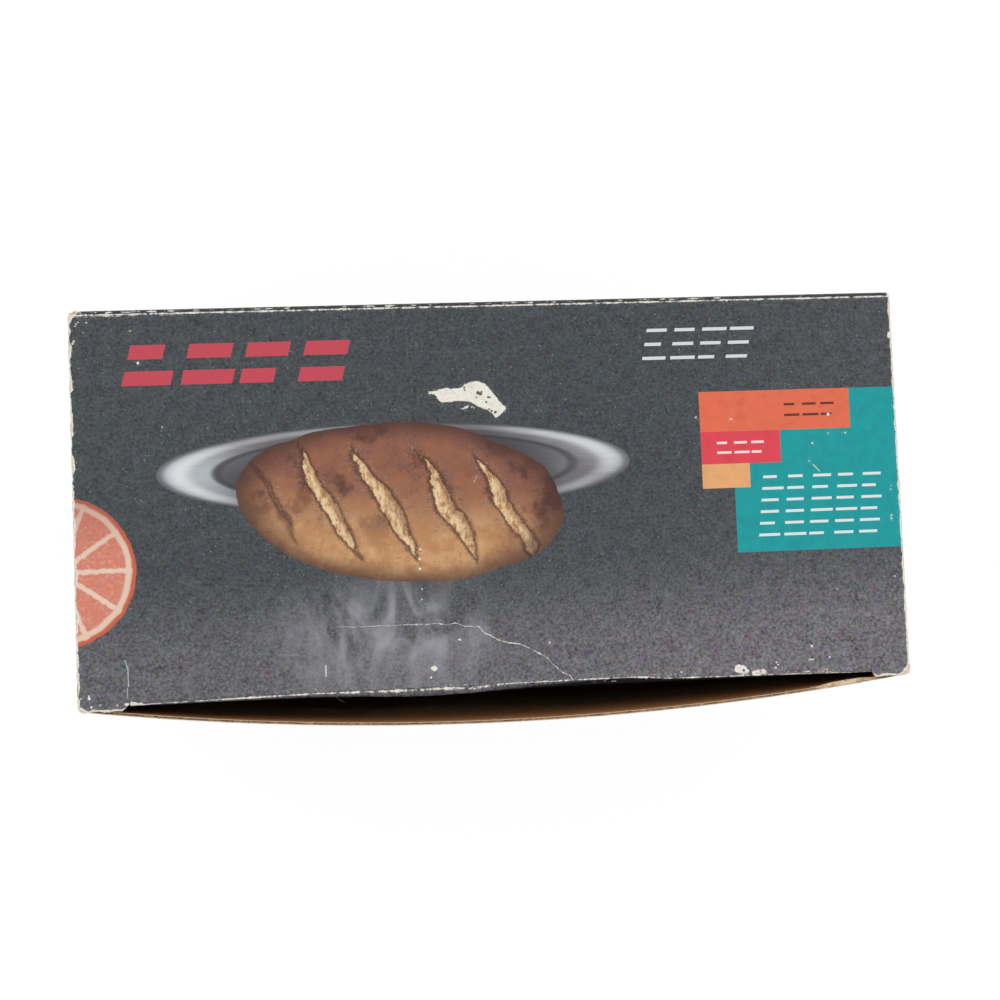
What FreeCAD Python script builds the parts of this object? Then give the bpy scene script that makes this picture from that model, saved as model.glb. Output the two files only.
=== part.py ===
import FreeCAD, Part
import math
import os

# A closed carton of fluted board with a tuck top. Lengths are in millimetres and angles in degrees.
# The origin is the middle of the base. X runs along the box, Y from the tuck wall to the hinge wall
# and Z is up.
length = 304.0
width = 144.0
height = 190.0

# The board, from its printed face inwards. The medium's thickness is measured across the board.
print_sheet = 0.35
flute_height = 1.0
liner_sheet = 0.25
medium_sheet = 0.22
flute_pitch = 4.1
board = print_sheet + flute_height + liner_sheet

# A crease crushes the board and bends its printed face round a radius. A fold that works leaves a gap
# between the crushed strip and the panel that moves.
crease_radius = 2.0
crease_board = 1.2
fold_gap = 0.3

# The lid lies over the dust flaps and over the cut edge of the tuck wall.
lid_rest_gap = 0.3
lid_side_setback = 0.2
left_ear = 18.0
right_ear = 14.5
slit_gap = 0.3
tuck_shoulder_setback = 1.6

# The tuck flap hangs inside the tuck wall and leans inwards. Its crease lies behind the front of the ears.
tuck_inset = 1.8
tuck_flap_length = 40.0
tuck_side_clearance = 1.5
tuck_corner_radius = 16.0
tuck_fold_angle = 105.0

# The tuck wall is an empty box's long wall, bowed out along its free edge.
wall_bow = 10.6
bow_allowance = 0.1

# Dust flaps fold in from the side walls under the lid.
dust_flap_length = 65.0
dust_front_setback = 9.6
dust_back_setback = 4.2
dust_front_taper = 3.0
dust_back_slope_share = 0.5
dust_corner_radius = 7.0

# The maker's joint: a tab on the right wall is glued inside the hinge wall.
tab_width = 30.0
tab_end_setback = 8.0
tab_end_taper = 9.0
glue_film = 0.1
joint_edge_setback = 0.5
joint_glue_width = 18.0
joint_glue_margin = 20.0

# The base is glued shut: two short flaps inside, a long one over them and a long one outside.
minor_flap_length = 66.0
minor_side_clearance = 1.0
inner_flap_length = 116.0
outer_flap_setback = 1.0
long_flap_end_setback = 0.6
glue_bead_width = 6.0
glue_bead_margin = 18.0
outer_bead_count = 4

# Levels and planes that follow from the sizes above.
half_length = length / 2
half_width = width / 2
lid_underside = height - board
wall_top = lid_underside - lid_rest_gap
inner_level = board + glue_film
minor_level = inner_level + board + glue_film
square_fold = 90.0
hinge_inset = crease_radius * (1 - math.cos(math.radians(square_fold / 2)))

parts = {}


def vector(x, y, z):
    return FreeCAD.Vector(x, y, z)


class Panel:
    """A panel's outer face: along its crease, out from the crease, and inwards through the board."""

    def __init__(self, origin, out, inward):
        self.origin = origin
        self.out = out
        self.inward = inward
        self.along = out.cross(inward)

    def place(self, shape):
        """Carry a shape that is drawn in the panel's own axes to its place in the box."""
        axes = (self.along, self.out, self.inward)
        rows = [[getattr(axis, letter) for axis in axes] for letter in "xyz"]
        rows = [row + [getattr(self.origin, letter)] for row, letter in zip(rows, "xyz")]
        placement = FreeCAD.Placement(FreeCAD.Matrix(*rows[0], *rows[1], *rows[2]))
        moved = shape.copy()
        moved.Placement = placement.multiply(shape.Placement)
        return moved

    def turned(self):
        """The same face, read from its other end."""
        return Panel(self.origin, self.out * -1, self.inward)

    def towards_end(self, sign):
        """The same face, read along its crease towards one end."""
        return Panel(self.origin, self.along * sign, self.inward)

    def folded(self, reach, angle):
        """The panel that follows a fold which starts at a distance out from the origin."""
        bend = math.radians(angle)
        forward = reach + crease_radius * math.sin(bend)
        depth = crease_radius * (1 - math.cos(bend))
        origin = self.origin + self.out * forward + self.inward * depth
        out = self.out * math.cos(bend) + self.inward * math.sin(bend)
        inward = self.inward * math.cos(bend) - self.out * math.sin(bend)
        return Panel(origin, out, inward)


def rectangle(low_u, high_u, low_v, high_v):
    return [(low_u, low_v), (high_u, low_v), (high_u, high_v), (low_u, high_v)]


def face_of(points, radii=None):
    """A flat face through the points, with a round corner wherever radii gives one."""
    radii = radii or {}
    corners = [vector(u, v, 0) for u, v in points]
    stations = []
    for index, corner in enumerate(corners):
        radius = radii.get(index, 0)
        if not radius:
            stations.append((corner, None, corner))
            continue
        before = (corners[index - 1] - corner).normalize()
        after = (corners[(index + 1) % len(corners)] - corner).normalize()
        half = before.getAngle(after) / 2
        run = radius / math.tan(half)
        bisector = (before + after).normalize()
        middle = corner + bisector * (radius / math.sin(half) - radius)
        stations.append((corner + before * run, middle, corner + after * run))
    edges = []
    for index, (start, middle, end) in enumerate(stations):
        if middle is not None:
            edges.append(Part.Arc(start, middle, end).toShape())
        edges.append(Part.LineSegment(end, stations[(index + 1) % len(stations)][0]).toShape())
    return Part.Face(Part.Wire(edges))


def sheet(face, depth, thickness):
    """A flat sheet of paper with its outer side at a depth into the board."""
    solid = face.extrude(vector(0, 0, thickness))
    solid.translate(vector(0, 0, depth))
    return solid


def flute_sides(low_u, high_u, base, rise):
    """The two sides of the medium's zigzag across the flutes, as points of position and depth."""
    count = max(1, round((high_u - low_u) / flute_pitch))
    step = (high_u - low_u) / (2 * count)
    outer = []
    for index in range(2 * count + 1):
        outer.append((low_u + index * step, base + (rise - medium_sheet) * (index % 2)))
    inner = [(u, depth + medium_sheet) for u, depth in outer]
    return outer, inner


def closed_wire(points):
    return Part.makePolygon(points + points[:1])


def flat_medium(points, face):
    """The fluted medium of a flat panel, cut to the panel's outline."""
    low_u = min(u for u, v in points)
    high_u = max(u for u, v in points)
    low_v = min(v for u, v in points)
    high_v = max(v for u, v in points)
    outer, inner = flute_sides(low_u, high_u, print_sheet, flute_height)
    wire = closed_wire([vector(u, low_v, depth) for u, depth in outer + inner[::-1]])
    medium = Part.Face(wire).extrude(vector(0, high_v - low_v, 0))
    full_area = (high_u - low_u) * (high_v - low_v)
    if face.Area < full_area * (1 - 1e-6):
        medium = medium.common(sheet(face, print_sheet, flute_height))
    return medium


def board_panel(name, panel, points, radii=None):
    """Make a panel as a printed sheet, a fluted medium and a brown liner."""
    face = face_of(points, radii)
    parts[name + "_print"] = panel.place(sheet(face, 0, print_sheet))
    parts[name + "_flute"] = panel.place(flat_medium(points, face))
    parts[name + "_liner"] = panel.place(sheet(face, print_sheet + flute_height, liner_sheet))


def crease(panel, reach, low_u, high_u, angle=square_fold):
    """The crushed strip of board that bends from one panel to the next."""
    inner_radius = crease_radius - crease_board

    def at(radius, share):
        turn = math.radians(angle * share)
        return vector(low_u, reach + radius * math.sin(turn), crease_radius - radius * math.cos(turn))

    outer_arc = Part.Arc(at(crease_radius, 0), at(crease_radius, 0.5), at(crease_radius, 1))
    inner_arc = Part.Arc(at(inner_radius, 1), at(inner_radius, 0.5), at(inner_radius, 0))
    far_side = Part.LineSegment(at(crease_radius, 1), at(inner_radius, 1))
    near_side = Part.LineSegment(at(inner_radius, 0), at(crease_radius, 0))
    edges = [side.toShape() for side in (outer_arc, far_side, inner_arc, near_side)]
    strip = Part.Face(Part.Wire(edges)).extrude(vector(high_u - low_u, 0, 0))
    return panel.place(strip)


def bow_at(u, half_span):
    """How far the free edge of the tuck wall stands out, on one arc from corner to corner."""
    radius = (half_span ** 2 + wall_bow ** 2) / (2 * wall_bow)
    return math.sqrt(radius ** 2 - u ** 2) - (radius - wall_bow)


def bowed_sheet(half_span, low_v, high_v, depth, thickness):
    """A sheet that is straight at its lower edge and bowed outwards at its upper one."""
    def edge_wire(level, bow):
        edges = []
        for side, shift in ((1, depth), (-1, depth + thickness)):
            start = vector(-side * half_span, level, shift)
            middle = vector(0, level, shift - bow)
            end = vector(side * half_span, level, shift)
            if bow:
                edges.append(Part.Arc(start, middle, end).toShape())
            else:
                edges.append(Part.LineSegment(start, end).toShape())
        near_end = Part.LineSegment(vector(half_span, level, depth), vector(half_span, level, depth + thickness))
        far_end = Part.LineSegment(vector(-half_span, level, depth + thickness), vector(-half_span, level, depth))
        return Part.Wire([edges[0], near_end.toShape(), edges[1], far_end.toShape()])

    return Part.makeLoft([edge_wire(low_v, 0), edge_wire(high_v, wall_bow)], True, True)


def bowed_medium(half_span, low_v, high_v):
    """The medium of the bowed wall: each flute runs straight up it.

    Its two sides are ruled in the same direction, so that the paper between them keeps its thickness.
    """
    base = print_sheet + bow_allowance
    outer, inner = flute_sides(-half_span, half_span, base, flute_height - 2 * bow_allowance)

    def lower(points):
        return [vector(u, low_v, depth) for u, depth in points]

    def upper(points):
        return [vector(u, high_v, depth - bow_at(u, half_span)) for u, depth in points]

    faces = []
    for side in (outer, inner):
        edges = [Part.makePolygon(lower(side)), Part.makePolygon(upper(side))]
        faces.extend(Part.makeLoft(edges, False, True).Faces)
    ring = outer + inner[::-1]
    for cut in (lower(ring), upper(ring)):
        faces.append(Part.Face(closed_wire(cut)))
    for index in (0, -1):
        end = [outer[index], inner[index]]
        faces.append(Part.Face(closed_wire(lower(end) + upper(end)[::-1])))
    return Part.makeSolid(Part.makeShell(faces))


def make_walls():
    """The four walls and the corners between them."""
    crease_half_length = half_length - crease_radius
    crease_half_width = half_width - crease_radius
    tab_plane = half_width - board - glue_film
    side_foot = minor_level + crease_radius
    side_top = wall_top - crease_radius

    hinge = Panel(vector(0, half_width, 0), vector(0, 0, 1), vector(0, -1, 0))
    hinge_outline = rectangle(-crease_half_length, half_length - joint_edge_setback,
                              crease_radius, height - crease_radius)
    board_panel("hinge_wall", hinge, hinge_outline)

    left = Panel(vector(-half_length, 0, 0), vector(0, 0, 1), vector(1, 0, 0))
    left_outline = rectangle(-crease_half_width, crease_half_width, side_foot, side_top)
    board_panel("left_wall", left, left_outline)

    right = Panel(vector(half_length, 0, 0), vector(0, 0, 1), vector(-1, 0, 0))
    right_outline = rectangle(crease_radius - tab_plane, crease_half_width, side_foot, side_top)
    board_panel("right_wall", right, right_outline)

    tuck = Panel(vector(0, -half_width, 0), vector(0, 0, 1), vector(0, 1, 0))
    tuck_foot = inner_level + crease_radius
    tuck_span = (crease_half_length, tuck_foot, wall_top)
    parts["tuck_wall_print"] = tuck.place(bowed_sheet(*tuck_span, 0, print_sheet))
    parts["tuck_wall_flute"] = tuck.place(bowed_medium(*tuck_span))
    liner_depth = print_sheet + flute_height
    parts["tuck_wall_liner"] = tuck.place(bowed_sheet(*tuck_span, liner_depth, liner_sheet))

    corners = [
        crease(tuck.towards_end(1), crease_half_length, -side_top, -side_foot),
        crease(tuck.towards_end(-1), crease_half_length, side_foot, side_top),
        crease(hinge.towards_end(-1), crease_half_length, side_foot, side_top),
        crease(right.towards_end(-1), tab_plane - crease_radius, side_foot, side_top),
    ]
    parts["corner_creases"] = Part.makeCompound(corners)
    return hinge, left, right, tuck


def make_joint():
    """The glued tab that closes the tube at the back right corner."""
    plane = half_width - board - glue_film
    tab = Panel(vector(half_length - crease_radius, plane, 0), vector(0, 0, 1), vector(0, -1, 0))
    foot = minor_level + board + tab_end_setback
    head = wall_top - board - tab_end_setback
    outline = [(0, foot), (0, head), (-tab_width, head - tab_end_taper), (-tab_width, foot + tab_end_taper)]
    board_panel("glue_tab", tab, outline[::-1])
    margin = (tab_width - joint_glue_width) / 2
    strip = rectangle(margin - tab_width, -margin, foot + joint_glue_margin, head - joint_glue_margin)
    parts["joint_glue"] = tab.place(sheet(face_of(strip), -glue_film, glue_film))


def make_lid(hinge):
    """The lid with its two ears, and the tuck flap that folds down between them."""
    lid = hinge.folded(height - crease_radius, square_fold)
    parts["lid_crease"] = crease(hinge, height - crease_radius, lid_side_setback - half_length,
                                 half_length - lid_side_setback)
    side = half_length - lid_side_setback
    ear_reach = width - crease_radius
    fold_start = ear_reach - tuck_inset - crease_radius
    left_slit = left_ear - side
    right_slit = side - right_ear
    outline = [
        (-side, fold_gap), (side, fold_gap), (side, ear_reach), (right_slit, ear_reach),
        (right_slit, fold_start), (left_slit, fold_start), (left_slit, ear_reach), (-side, ear_reach),
    ]
    board_panel("lid", lid, outline)
    left_shoulder = left_slit + slit_gap
    right_shoulder = right_slit - slit_gap
    parts["tuck_crease"] = crease(lid, fold_start, left_shoulder, right_shoulder, tuck_fold_angle)
    flap = lid.folded(fold_start, tuck_fold_angle)
    flap_half = half_length - board - tuck_side_clearance
    flap_outline = [
        (-flap_half, tuck_shoulder_setback), (left_shoulder, tuck_shoulder_setback),
        (left_shoulder, fold_gap), (right_shoulder, fold_gap),
        (right_shoulder, tuck_shoulder_setback), (flap_half, tuck_shoulder_setback),
        (flap_half, tuck_flap_length), (-flap_half, tuck_flap_length),
    ]
    board_panel("tuck_flap", flap, flap_outline, {6: tuck_corner_radius, 7: tuck_corner_radius})
    return lid, fold_start


def make_dust_flaps(left, right):
    """The two flaps that fold in from the side walls under the lid."""
    start = wall_top - crease_radius
    front = half_width - dust_front_setback
    back = half_width - dust_back_setback
    strips = []
    for name, wall, hinge_side in (("dust_flap_left", left, 1), ("dust_flap_right", right, -1)):
        back_tip = back - dust_flap_length * dust_back_slope_share
        outline = [
            (-front, fold_gap), (back, fold_gap), (back_tip, dust_flap_length),
            (dust_front_taper - front, dust_flap_length),
        ]
        if hinge_side < 0:
            outline = [(-u, v) for u, v in reversed(outline)]
        tips = [index for index, (u, v) in enumerate(outline) if v == dust_flap_length]
        radii = {index: dust_corner_radius for index in tips}
        flap = wall.folded(start, square_fold)
        board_panel(name, flap, outline, radii)
        low_u = min(u for u, v in outline)
        high_u = max(u for u, v in outline)
        strips.append(crease(wall, start, low_u, high_u))
    parts["dust_creases"] = Part.makeCompound(strips)


def make_base(hinge, left, right, tuck):
    """The glued base: minor flaps, inner flap, outer flap, their creases and the glue between them."""
    flap_half = half_length - long_flap_end_setback
    outer_start = -crease_radius
    outer = hinge.turned().folded(outer_start, square_fold)
    outer_end = width - crease_radius - outer_flap_setback
    board_panel("bottom_outer", outer, rectangle(-flap_half, flap_half, 0, outer_end))

    inner_start = -inner_level - crease_radius
    inner = tuck.turned().folded(inner_start, square_fold)
    inner_end = inner_flap_length - crease_radius
    board_panel("bottom_inner", inner, rectangle(-flap_half, flap_half, 0, inner_end))

    strips = [
        crease(hinge.turned(), outer_start, -flap_half, flap_half),
        crease(tuck.turned(), inner_start, -flap_half, flap_half),
    ]
    beads = []
    minor_start = -minor_level - crease_radius
    minor_half = half_width - crease_radius - board - minor_side_clearance
    minor_end = minor_flap_length - crease_radius
    for name, wall in (("bottom_minor_left", left), ("bottom_minor_right", right)):
        minor = wall.turned().folded(minor_start, square_fold)
        board_panel(name, minor, rectangle(-minor_half, minor_half, 0, minor_end))
        strips.append(crease(wall.turned(), minor_start, -minor_half, minor_half))
        for end in (glue_bead_margin, minor_end - glue_bead_margin):
            bead = rectangle(glue_bead_margin - minor_half, minor_half - 2 * glue_bead_margin,
                             end - glue_bead_width / 2, end + glue_bead_width / 2)
            if name.endswith("left"):
                bead = [(-u, v) for u, v in reversed(bead)]
            beads.append(minor.place(sheet(face_of(bead), -glue_film, glue_film)))
    parts["bottom_creases"] = Part.makeCompound(strips)

    spacing = (inner_end - 2 * glue_bead_margin) / (outer_bead_count - 1)
    for index in range(outer_bead_count):
        middle = glue_bead_margin + index * spacing
        bead = rectangle(glue_bead_margin - flap_half, flap_half - glue_bead_margin,
                         middle - glue_bead_width / 2, middle + glue_bead_width / 2)
        beads.append(inner.place(sheet(face_of(bead), -glue_film, glue_film)))
    parts["bottom_glue"] = Part.makeCompound(beads)


hinge_panel, left_panel, right_panel, tuck_panel = make_walls()
make_joint()
lid_panel, tuck_fold_start = make_lid(hinge_panel)
make_dust_flaps(left_panel, right_panel)
make_base(hinge_panel, left_panel, right_panel, tuck_panel)

# The folds turn about the outer side of their creases, half way round the bend.
half_bend = math.radians(tuck_fold_angle / 2)
tuck_hinge = lid_panel.origin + lid_panel.out * (tuck_fold_start + crease_radius * math.sin(half_bend))
tuck_hinge = tuck_hinge + lid_panel.inward * (crease_radius * (1 - math.cos(half_bend)))
fold_points = {
    "lid fold": vector(0, half_width - hinge_inset, height - hinge_inset),
    "tuck fold": tuck_hinge,
    "left dust fold": vector(hinge_inset - half_length, 0, wall_top - hinge_inset),
    "right dust fold": vector(half_length - hinge_inset, 0, wall_top - hinge_inset),
}

os.makedirs("parts", exist_ok=True)
for part_name, part_shape in parts.items():
    part_shape.exportStep("parts/" + part_name + ".step")
for fold_name, point in fold_points.items():
    print(fold_name, round(point.x, 4), round(point.y, 4), round(point.z, 4))
print("pieces:", len(parts))
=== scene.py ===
# %% [markdown]
# # A tuck-top carton of fluted board
#
# A retail carton is one die-cut blank, folded and glued. Its board is three papers: a printed sheet
# outside, a waved medium, and a brown liner inside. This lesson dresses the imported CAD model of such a
# carton. Sheets whose wear changes their outline are made again as fine meshes. The others keep their CAD
# mesh and get a procedural finish.

import math

import bpy
import numpy as np
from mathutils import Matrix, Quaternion, Vector


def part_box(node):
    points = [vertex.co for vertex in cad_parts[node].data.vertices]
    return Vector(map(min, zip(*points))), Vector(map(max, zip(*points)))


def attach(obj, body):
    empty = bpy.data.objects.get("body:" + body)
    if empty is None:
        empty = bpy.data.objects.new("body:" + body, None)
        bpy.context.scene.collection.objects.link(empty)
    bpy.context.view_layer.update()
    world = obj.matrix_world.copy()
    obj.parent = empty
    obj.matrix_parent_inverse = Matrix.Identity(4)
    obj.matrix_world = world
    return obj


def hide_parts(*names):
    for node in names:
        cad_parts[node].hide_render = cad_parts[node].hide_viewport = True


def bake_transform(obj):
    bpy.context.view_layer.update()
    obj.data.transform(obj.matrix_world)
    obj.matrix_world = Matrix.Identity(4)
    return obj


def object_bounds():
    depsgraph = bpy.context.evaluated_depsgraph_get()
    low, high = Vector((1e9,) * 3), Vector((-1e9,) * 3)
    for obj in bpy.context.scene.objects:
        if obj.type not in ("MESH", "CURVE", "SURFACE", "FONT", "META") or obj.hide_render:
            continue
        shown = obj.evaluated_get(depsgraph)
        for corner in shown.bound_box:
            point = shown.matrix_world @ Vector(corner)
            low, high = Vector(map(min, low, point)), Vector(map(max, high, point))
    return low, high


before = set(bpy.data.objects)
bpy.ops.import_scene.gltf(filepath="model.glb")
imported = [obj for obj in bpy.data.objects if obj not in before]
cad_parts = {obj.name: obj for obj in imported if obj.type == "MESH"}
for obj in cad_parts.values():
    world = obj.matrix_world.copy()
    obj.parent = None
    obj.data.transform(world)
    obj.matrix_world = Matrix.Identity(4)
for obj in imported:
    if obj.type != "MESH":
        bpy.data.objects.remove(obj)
cad_bounds = [list(corner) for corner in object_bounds()]
print("nodes of the frame:", len(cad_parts))

# %% [markdown]
# Every size is read from the frame, so a change in the CAD model carries over. Paper is thought of in
# millimetres, so the boxes are turned into millimetres here and the meshes back into metres at the end.

# %% Read the sizes of the folded board


def box_mm(node):
    """Lowest and highest corner of a CAD node, in millimetres."""
    return [np.array(corner) * 1000 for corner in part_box(node)]


lid_low, lid_high = box_mm("lid_print")
liner_low, liner_high = box_mm("lid_liner")
medium_low, medium_high = box_mm("lid_flute")
fold_low, fold_high = box_mm("lid_crease")
tuck_low, tuck_high = box_mm("tuck_crease")
wall_low, wall_high = box_mm("tuck_wall_print")

print_sheet = lid_high[2] - lid_low[2]
flute_height = medium_high[2] - medium_low[2]
liner_sheet = liner_high[2] - liner_low[2]
board = lid_high[2] - liner_low[2]
crushed_board = 1.2
medium_sheet = 0.22
flute_pitch = 4.1
crease_radius = fold_high[1] - fold_low[1]
quarter = math.pi / 2
arc = quarter * crease_radius
front_plane = lid_low[1]
back_plane = fold_high[1]
bow = front_plane - wall_low[1]
print("board", round(board, 2), "crease radius", round(crease_radius, 2), "bow", round(bow, 2))

# %% [markdown]
# ## The camera
#
# The photograph was taken from above the carton, a little tilted. Four corners of the lid and the focal
# length fix the place and the turn of the camera, so they are written here as measured.

# %% Set up the camera
camera_place = Vector((-62.5, -41.1, lid_high[2] + 630.9))
camera_turn = Vector((math.radians(-3.69), math.radians(5.71), math.radians(2.19)))

camera_data = bpy.data.cameras.new("camera")
camera_data.sensor_width = 36
camera_data.lens = 62.64
camera_data.clip_start = 0.01
camera = bpy.data.objects.new("camera", camera_data)
bpy.context.scene.collection.objects.link(camera)
camera.rotation_mode = "QUATERNION"
camera.rotation_quaternion = Quaternion(camera_turn.normalized(), camera_turn.length).inverted()
camera.location = camera_place / 1000
bpy.context.scene.camera = camera
print("camera above the lid by", round(camera_place.z - lid_high[2], 1), "mm")

# %% [markdown]
# ## Writing shader maths as Python
#
# A print is mostly sums of masks. Wired singly that is hundreds of nodes, so a small class wraps a
# socket: `1 - mask` or `x * 2 + y` then adds the Math nodes. A place in space is a Signal too, so
# `where.noise(5)` is noise with lumps of 5 mm, and `where.coats(...)` paints colours over one another.

# %% A socket that does arithmetic


class Signal:
    """The output of a node. Arithmetic on it adds Math nodes, or Vector Math nodes for vectors."""

    def __init__(self, finish, socket):
        self.finish = finish
        self.socket = socket
        self.parts = 1 if socket.type == "VALUE" else 3

    def math(self, operation, *values):
        vector = any(isinstance(value, tuple) or getattr(value, "parts", 1) > 1 for value in values)
        return self.finish.node("VectorMath" if vector else "Math", {"operation": operation}, values)

    def wrap(self, low, high):
        return self.math("WRAP", self, high, low)

    def rise(self, low, high):
        """0 below low, 1 above high and smooth between them, or the reverse where low is greater."""
        inputs = {"Value": self, "From Min": low, "From Max": high}
        return self.finish.node("MapRange", {"interpolation_type": "SMOOTHSTEP"}, inputs)

    def inside(self, soft=0.06):
        """1 where a distance is below zero."""
        return self.rise(soft, -soft)

    def axes(self):
        """The three parts of a vector."""
        parts = self.finish.node("SeparateXYZ", {}, [self]).socket.node.outputs
        return [Signal(self.finish, part) for part in parts]

    def noise(self, size, detail=2, rough=0.5, distort=0, output=0):
        """Smooth noise around 0.5 whose lumps are about size across."""
        inputs = {"Vector": self, "Scale": 1 / size, "Detail": detail}
        inputs.update({"Roughness": rough, "Distortion": distort})
        return self.finish.node("TexNoise", {}, inputs, output)

    def cells(self, size):
        """Distance to the nearest of scattered points, which are about size apart, as a share of size."""
        return self.finish.node("TexVoronoi", {}, {"Vector": self, "Scale": 1 / size}, "Distance")

    def coats(self, color, *layers):
        """Colours laid over the first one, each through its mask."""
        for over, mask in layers:
            inputs = {"Factor": mask, "A": color, "B": over}
            color = self.finish.node("Mix", {"data_type": "RGBA"}, inputs)
        return color


signs = {"add": "ADD", "sub": "SUBTRACT", "mul": "MULTIPLY", "truediv": "DIVIDE", "pow": "POWER"}
for name, operation in signs.items():
    setattr(Signal, f"__{name}__", lambda self, other, work=operation: self.math(work, self, other))
    setattr(Signal, f"__r{name}__", lambda self, other, work=operation: self.math(work, other, self))
methods = {"least": "MINIMUM", "most": "MAXIMUM", "size": "ABSOLUTE", "floor": "FLOOR", "sine": "SINE",
           "turn_from": "ARCTAN2", "distance": "DISTANCE"}
for name, operation in methods.items():
    setattr(Signal, name, lambda self, *others, work=operation: self.math(work, self, *others))
print("a Signal knows", len(signs), "signs and", len(methods), "functions")

# %% [markdown]
# A colour is written as it looks on a screen, in numbers up to 255, and turned into the linear values
# that light needs. A `Finish` is one material's node tree. Its `node` method makes any other node from its
# type, its settings and its inputs.

# %% A material's node tree


def ink(red, green, blue):
    """A screen colour as a linear one."""
    return tuple(((part / 255 + 0.055) / 1.055) ** 2.4 for part in (red, green, blue))


class Finish:
    """One material and its shader."""

    def __init__(self, name, specular, subsurface=0):
        self.material = bpy.data.materials.new(name)
        self.material.use_nodes = True
        self.tree = self.material.node_tree
        self.shader = self.tree.nodes["Principled BSDF"]
        self.set("Specular IOR Level", specular)
        self.set("Subsurface Weight", subsurface)

    def node(self, kind, settings, inputs=(), output=0):
        """Any node: its settings first, then the values or links of its open sockets."""
        node = self.tree.nodes.new("ShaderNode" + kind)
        for setting, value in settings.items():
            setattr(node, setting, value)
        sockets = [socket for socket in node.inputs if socket.enabled]
        results = [socket for socket in node.outputs if socket.enabled]
        if isinstance(inputs, dict):
            names = [socket.name for socket in sockets]
            sockets = [sockets[names.index(name)] for name in inputs]
            inputs = inputs.values()
        for socket, value in zip(sockets, inputs):
            self.feed(socket, value)
        if isinstance(output, str):
            output = [socket.name for socket in results].index(output)
        return Signal(self, results[output])

    def feed(self, socket, value):
        if isinstance(value, Signal):
            self.tree.links.new(value.socket, socket)
        elif socket.type == "RGBA":
            socket.default_value = (*value, 1)
        elif socket.type == "VECTOR" and not isinstance(value, tuple):
            socket.default_value = (value, value, value)
        else:
            socket.default_value = value

    def set(self, name, value):
        self.feed(self.shader.inputs[name], value)

    def stored(self, name, output="Fac"):
        """A fact that the mesh carries."""
        return self.node("Attribute", {"attribute_name": name}, output=output)

    def place(self, own=True):
        """The place at rest in millimetres, on a mesh made here or on a CAD mesh."""
        if own:
            return self.stored("rest", "Vector")
        return self.node("TexCoord", {}, output="Object") * 1000

    def dress(self, color, roughness, height):
        """Connect the colour, the roughness and a relief in millimetres."""
        self.set("Base Color", color)
        self.set("Roughness", roughness)
        self.set("Normal", self.node("Bump", {}, {"Strength": 1, "Distance": 0.001, "Height": height}))
        return self.material


print("charcoal ink in linear light:", [round(part, 3) for part in ink(80, 83, 87)])

# %% [markdown]
# ## The ground of the print
#
# The carton's ground is a charcoal ink with a fine grain, as a screen of dots gives it: each lump of it is
# a little lighter, darker, bluer or browner. It is worked out from the place in space, so it runs over
# folds from one sheet to the next without a seam.

# %% The charcoal ground
charcoal = ink(68, 73, 77)
charcoal_pale = ink(113, 110, 115)


def charcoal_ground(where, lift):
    """Grained charcoal ink. Lift goes from 0 to 1 where the ground turns a paler grey."""
    base = where.coats(charcoal, (charcoal_pale, lift))
    tint = (where.noise(1 / 0.3, output="Color") - (0.5, 0.5, 0.5)) * 0.5
    grain = where.noise(1.15, rough=0.8) - 0.5
    cloud = where.noise(5, 4, 0.6) - 0.5
    light = grain * (lift * 0.5 + 2.5) + cloud * (lift * 0.3 + 0.9) + 1
    fleck = where.cells(1.5).rise(0.17, 0.08) * where.noise(2.1).rise(0.53, 0.6)
    return where.coats(base * (tint + light).most(0.25), (ink(176, 178, 180), fleck * 0.7))


print("the ground fades from", [round(part, 3) for part in charcoal], "to a paler grey")

# %% [markdown]
# ## Shapes of a print
#
# Flat shapes are drawn with distances: a distance below zero is inside. Two helpers are enough for bars
# and ovals. Rows of short dashes with gaps fill a block, as in a printer's dummy.

# %% Distances to bars and ovals


def bar(x, y, low, high, slant=0):
    """Distance to the inside of an upright rectangle, or of a slanted one."""
    middle_x, middle_y = ((low[axis] + high[axis]) / 2 for axis in (0, 1))
    shifted = x - middle_x - (y - middle_y) * slant if slant else x - middle_x
    across = shifted.size() - (high[0] - low[0]) / 2
    return across.most((y - middle_y).size() - (high[1] - low[1]) / 2)


def oval(x, y, middle, half, wobble=0):
    """Distance, roughly, to the inside of an oval."""
    across = (x - middle[0]) / half[0]
    along = (y - middle[1]) / half[1]
    reach = (across * across + along * along) ** 0.5
    return (reach - 1 + wobble) * min(half)


def dice(cell, row, output=0):
    """A random number for each cell of each row."""
    seat = cell.finish.node("CombineXYZ", {}, [cell, row])
    return cell.finish.node("TexWhiteNoise", {"noise_dimensions": "2D"}, [seat], output)


def rules(x, y, start, row_pitch, rows, dash, dashes, thickness, slant=0):
    """Rows of short dashes with gaps, as a mask.

    Start is the lower left corner. Each dash takes one cell of a row and fills a part of it.
    """
    row = ((y - start[1]) / row_pitch).floor()
    up = (y - start[1]) - row * row_pitch
    place = (x - start[0] - (y - start[1]) * slant) / dash
    cell = place.floor()
    filled = (place - cell) * dash - (dice(cell, row) * 0.34 + 0.54) * dash
    line = (up - row_pitch / 2).size() - thickness / 2
    ends = (cell - (dashes - 1) / 2).size() - dashes / 2
    rows_end = (row - (rows - 1) / 2).size() - rows / 2
    return line.most(filled).most(ends + 0.01).most(rows_end + 0.01).inside(0.05)


def nearest(distances):
    """The least of several distances."""
    first, *others = distances
    for other in others:
        first = first.least(other)
    return first


def spots(place, dots):
    """Distance from a flat place to the nearest of several round spots, each (x, y, radius)."""
    return nearest(place.distance((x, y, 0)) - radius for x, y, radius in dots)


print("bars, ovals, rules and spots are ready")

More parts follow.
